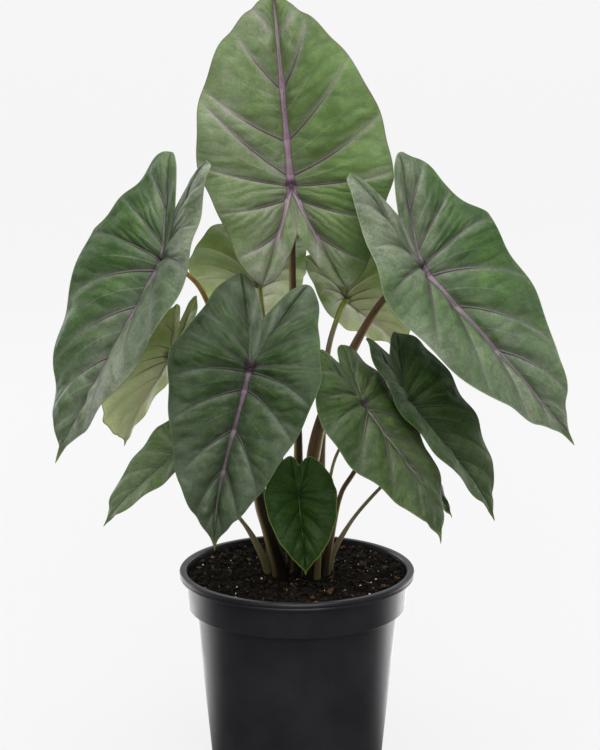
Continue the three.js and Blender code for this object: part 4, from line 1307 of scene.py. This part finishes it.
def scatter(name, count, sizes, stretch, levels, seed, material, sink=0.35):
    """Small stones strewn over the soil, clear of the stalks. Each is an icosphere scaled by its size and
    stretch, roughened by noise, turned at random, and sunk by a share of its height."""
    draw = np.random.default_rng(seed)
    shape, faces = icosphere(levels)
    feet = np.array([leaf["stalk"][-1][:2] for leaf in LEAVES.values()], float)
    clear = np.array([leaf["radii"][2] for leaf in LEAVES.values()]) + STALK_GAP
    radius = (SOIL_RADIUS - WALL_GAP) * np.sqrt(draw.uniform(0, 1, count * 2))
    angle = draw.uniform(0, 2 * np.pi, count * 2)
    spot = np.stack([radius * np.cos(angle), radius * np.sin(angle)], -1)
    gap = np.linalg.norm(spot[:, None] - feet[None], axis=-1) - clear
    spot = spot[gap.min(axis=1) > 0][:count]
    count = len(spot)
    size = sizes[0] + (sizes[1] - sizes[0]) * draw.uniform(0, 1, count) ** SMALL_ONES
    scale = size[:, None] * draw.uniform(1 - stretch, 1 + stretch, (count, 3)) / 2
    scale[:, 2] = np.minimum(scale[:, 2], scale[:, :2].min(axis=1))
    bump = 1 + STONE_BUMP * draw.normal(size=(count, len(shape)))
    stones = shape[None] * bump[..., None] * scale[:, None]
    spin = draw.uniform(0, 2 * np.pi, count)[:, None]
    lean = draw.normal(0, STONE_LEAN, count)[:, None]
    x = stones[..., 0] * np.cos(lean) - stones[..., 2] * np.sin(lean)
    y = stones[..., 1]
    z = stones[..., 0] * np.sin(lean) + stones[..., 2] * np.cos(lean)
    ground = soil_top(spot[:, 0], spot[:, 1]) + BED
    points = np.stack([
        x * np.cos(spin) - y * np.sin(spin) + spot[:, 0, None],
        x * np.sin(spin) + y * np.cos(spin) + spot[:, 1, None],
        z + (ground + scale[:, 2] * (1 - 2 * sink))[:, None]], -1)
    numbers = faces[None] + (np.arange(count) * len(shape))[:, None, None]
    tint = np.repeat(draw.uniform(0, 1, count), len(shape))
    piece = make_object(name, points.reshape(-1, 3), numbers.reshape(-1, 3), [material], {"tint": tint})
    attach(piece, "root")
    return piece


def grain_material(name, dark, light, roughness, scale):
    """A stone's colour between two tones, by its own tint and a fine noise."""
    material, net, shader = new_material(name)
    speck = net.noise(net.place(), scale, 3.0, 0.6)
    mask = net.plus(net.times(net.attribute("tint"), 0.6), net.times(speck, 0.4))
    net.fill(shader, {
        "Base Color": net.mix(mask, paint(*dark), paint(*light)), "Roughness": roughness,
        "Specular IOR Level": 0.2, "Normal": net.bump(speck, 0.6, 0.0003)})
    return material


CRUMB = grain_material("peat crumb", (5, 4, 2), (40, 29, 18), 0.95, 900.0)
BARK = grain_material("bark chip", (22, 16, 10), (116, 88, 60), 0.85, 700.0)
PERLITE = grain_material("perlite grain", (186, 176, 150), (240, 236, 222), 0.75, 1200.0)
crumbs = scatter("peat_crumbs", 2600, (0.9, 3.2), 0.5, 0, 11, CRUMB)
bark = scatter("bark_chips", 300, (0.8, 3.6), 0.75, 0, 12, BARK)
perlite = scatter("perlite", 60, (0.5, 1.9), 0.2, 1, 13, PERLITE, sink=0.3)
print("faces of loose grains:", [len(piece.data.polygons) for piece in (crumbs, bark, perlite)])

# %% [markdown]
# ## Floor, light and surroundings
#
# The plant stands on a pale floor in a bright studio. A wide soft light hangs overhead, two tall ones stand
# at the sides a little behind the plant, and only a weak one is in front. That keeps the front of the black
# pot dark and draws the soft pale bands along its two sides.

# %% Floor
FLOOR_RADIUS = 30.0
FLOOR_GLOW_NEAR = 0.78
FLOOR_GLOW_FAR = 0.82
FLOOR_SIDES = 96
GLOW_BEHIND_POT = 3.4


def make_floor():
    """A large disc of plain pale matt board that glows. The camera sees it evenly bright, and the pot's wall
    mirrors a glowing patch behind the pot that only reflections see."""
    angle = 2 * np.pi * np.arange(FLOOR_SIDES) / FLOOR_SIDES
    points = np.stack([np.cos(angle), np.sin(angle), 0 * angle], -1) * FLOOR_RADIUS
    mesh = bpy.data.meshes.new("floor")
    mesh.from_pydata(points, [], [tuple(range(FLOOR_SIDES))])
    material, net, shader = new_material("pale floor")
    path = net.node("ShaderNodeLightPath").outputs
    seen, mirrored = path["Is Camera Ray"], path["Is Glossy Ray"]
    away = net.node("ShaderNodeVectorMath", {0: net.place()}, operation="LENGTH").outputs["Value"]
    depth = net.node("ShaderNodeSeparateXYZ", {0: net.place()}).outputs[1]
    glow = net.times(seen, net.rise(away, 0.3, 1.8, FLOOR_GLOW_NEAR, FLOOR_GLOW_FAR))
    # a glowing patch of floor behind the pot, seen only in reflections, stands in for a light the pot mirrors
    behind = net.times(net.rise(depth, -0.02, 0.3, 0.0, GLOW_BEHIND_POT), net.fall(away, 0.5, 1.2))
    grey = net.mix(net.math("MAXIMUM", seen, mirrored), paint(150, 150, 150), paint(80, 80, 80))
    net.fill(shader, {
        "Base Color": grey, "Roughness": 0.9, "Emission Color": (1.0, 1.0, 1.0, 1.0),
        "Emission Strength": net.plus(glow, net.times(mirrored, behind))})
    mesh.materials.append(material)
    floor = bpy.data.objects.new("floor", mesh)
    bpy.context.scene.collection.objects.link(floor)


make_floor()
print("floor radius in metres:", FLOOR_RADIUS)

# %% Lights
ROOM_IN_FRONT = 0.15
ROOM_BEHIND = 1.5
ROOM_DIMMED_IN_GLOSS = 0.55
ROOM_SEEN = 0.92
# each light has a name, a place, a target, a width, a height and a power
LIGHTS = [
    ("overhead", (0.0, -0.5, 1.8), (0, 0, 0.35), 1.5, 1.2, 29),
    ("left back", (-1.2, 1.1, 0.35), (0, 0, 0.2), 0.7, 0.7, 6),
    ("right back", (1.2, 1.1, 0.35), (0, 0, 0.2), 0.7, 0.7, 4),
    ("front fill", (0.2, -2.0, 1.2), (0, 0, 0.35), 1.2, 1.2, 20),
]


def soft_light(name, place, target, width, height, power):
    """A rectangular area light that faces a target point."""
    lamp = bpy.data.lights.new(name, "AREA")
    lamp.shape = "RECTANGLE"
    lamp.size = width
    lamp.size_y = height
    lamp.energy = power
    light = bpy.data.objects.new(name, lamp)
    light.location = place
    aim = np.array(target) - np.array(place)
    tilt = math.acos(-aim[2] / np.linalg.norm(aim))
    light.rotation_euler = (tilt, 0, math.atan2(aim[0], -aim[1]) + math.pi)
    bpy.context.scene.collection.objects.link(light)


def make_world():
    """A white studio: the camera sees plain white, and the plant is lit by a room that is bright behind it
    and dimmer in front."""
    world = bpy.data.worlds.new("studio")
    world.use_nodes = True
    bpy.context.scene.world = world
    net = Network(world.node_tree)
    world.node_tree.nodes.clear()
    direction = net.node("ShaderNodeTexCoord").outputs["Generated"]
    depth = net.node("ShaderNodeSeparateXYZ", {0: direction}).outputs[1]
    path = net.node("ShaderNodeLightPath").outputs
    dimmed = net.math("SUBTRACT", 1.0, net.times(path["Is Glossy Ray"], ROOM_DIMMED_IN_GLOSS))
    strength = net.times(net.rise(depth, -0.2, 0.7, ROOM_IN_FRONT, ROOM_BEHIND), dimmed)
    room = net.node("ShaderNodeBackground", {"Color": (1, 1, 1, 1), "Strength": strength})
    seen = net.node("ShaderNodeBackground", {"Color": (1, 1, 1, 1), "Strength": ROOM_SEEN})
    both = {0: path["Is Camera Ray"], 1: room.outputs[0], 2: seen.outputs[0]}
    mixed = net.node("ShaderNodeMixShader", both)
    net.node("ShaderNodeOutputWorld", {"Surface": mixed.outputs[0]})


make_world()
bpy.context.scene.view_settings.view_transform = "Standard"
for light in LIGHTS:
    soft_light(*light)
print("lights:", len(LIGHTS))

# %% [markdown]
# ## The CAD model's box
#
# The dressed plant is meant to stay in the box of the CAD model: the leaf blades are drawn into it where they
# stick out, and the box is printed here.

# %% Finish
print("CAD box:", cad_bounds)
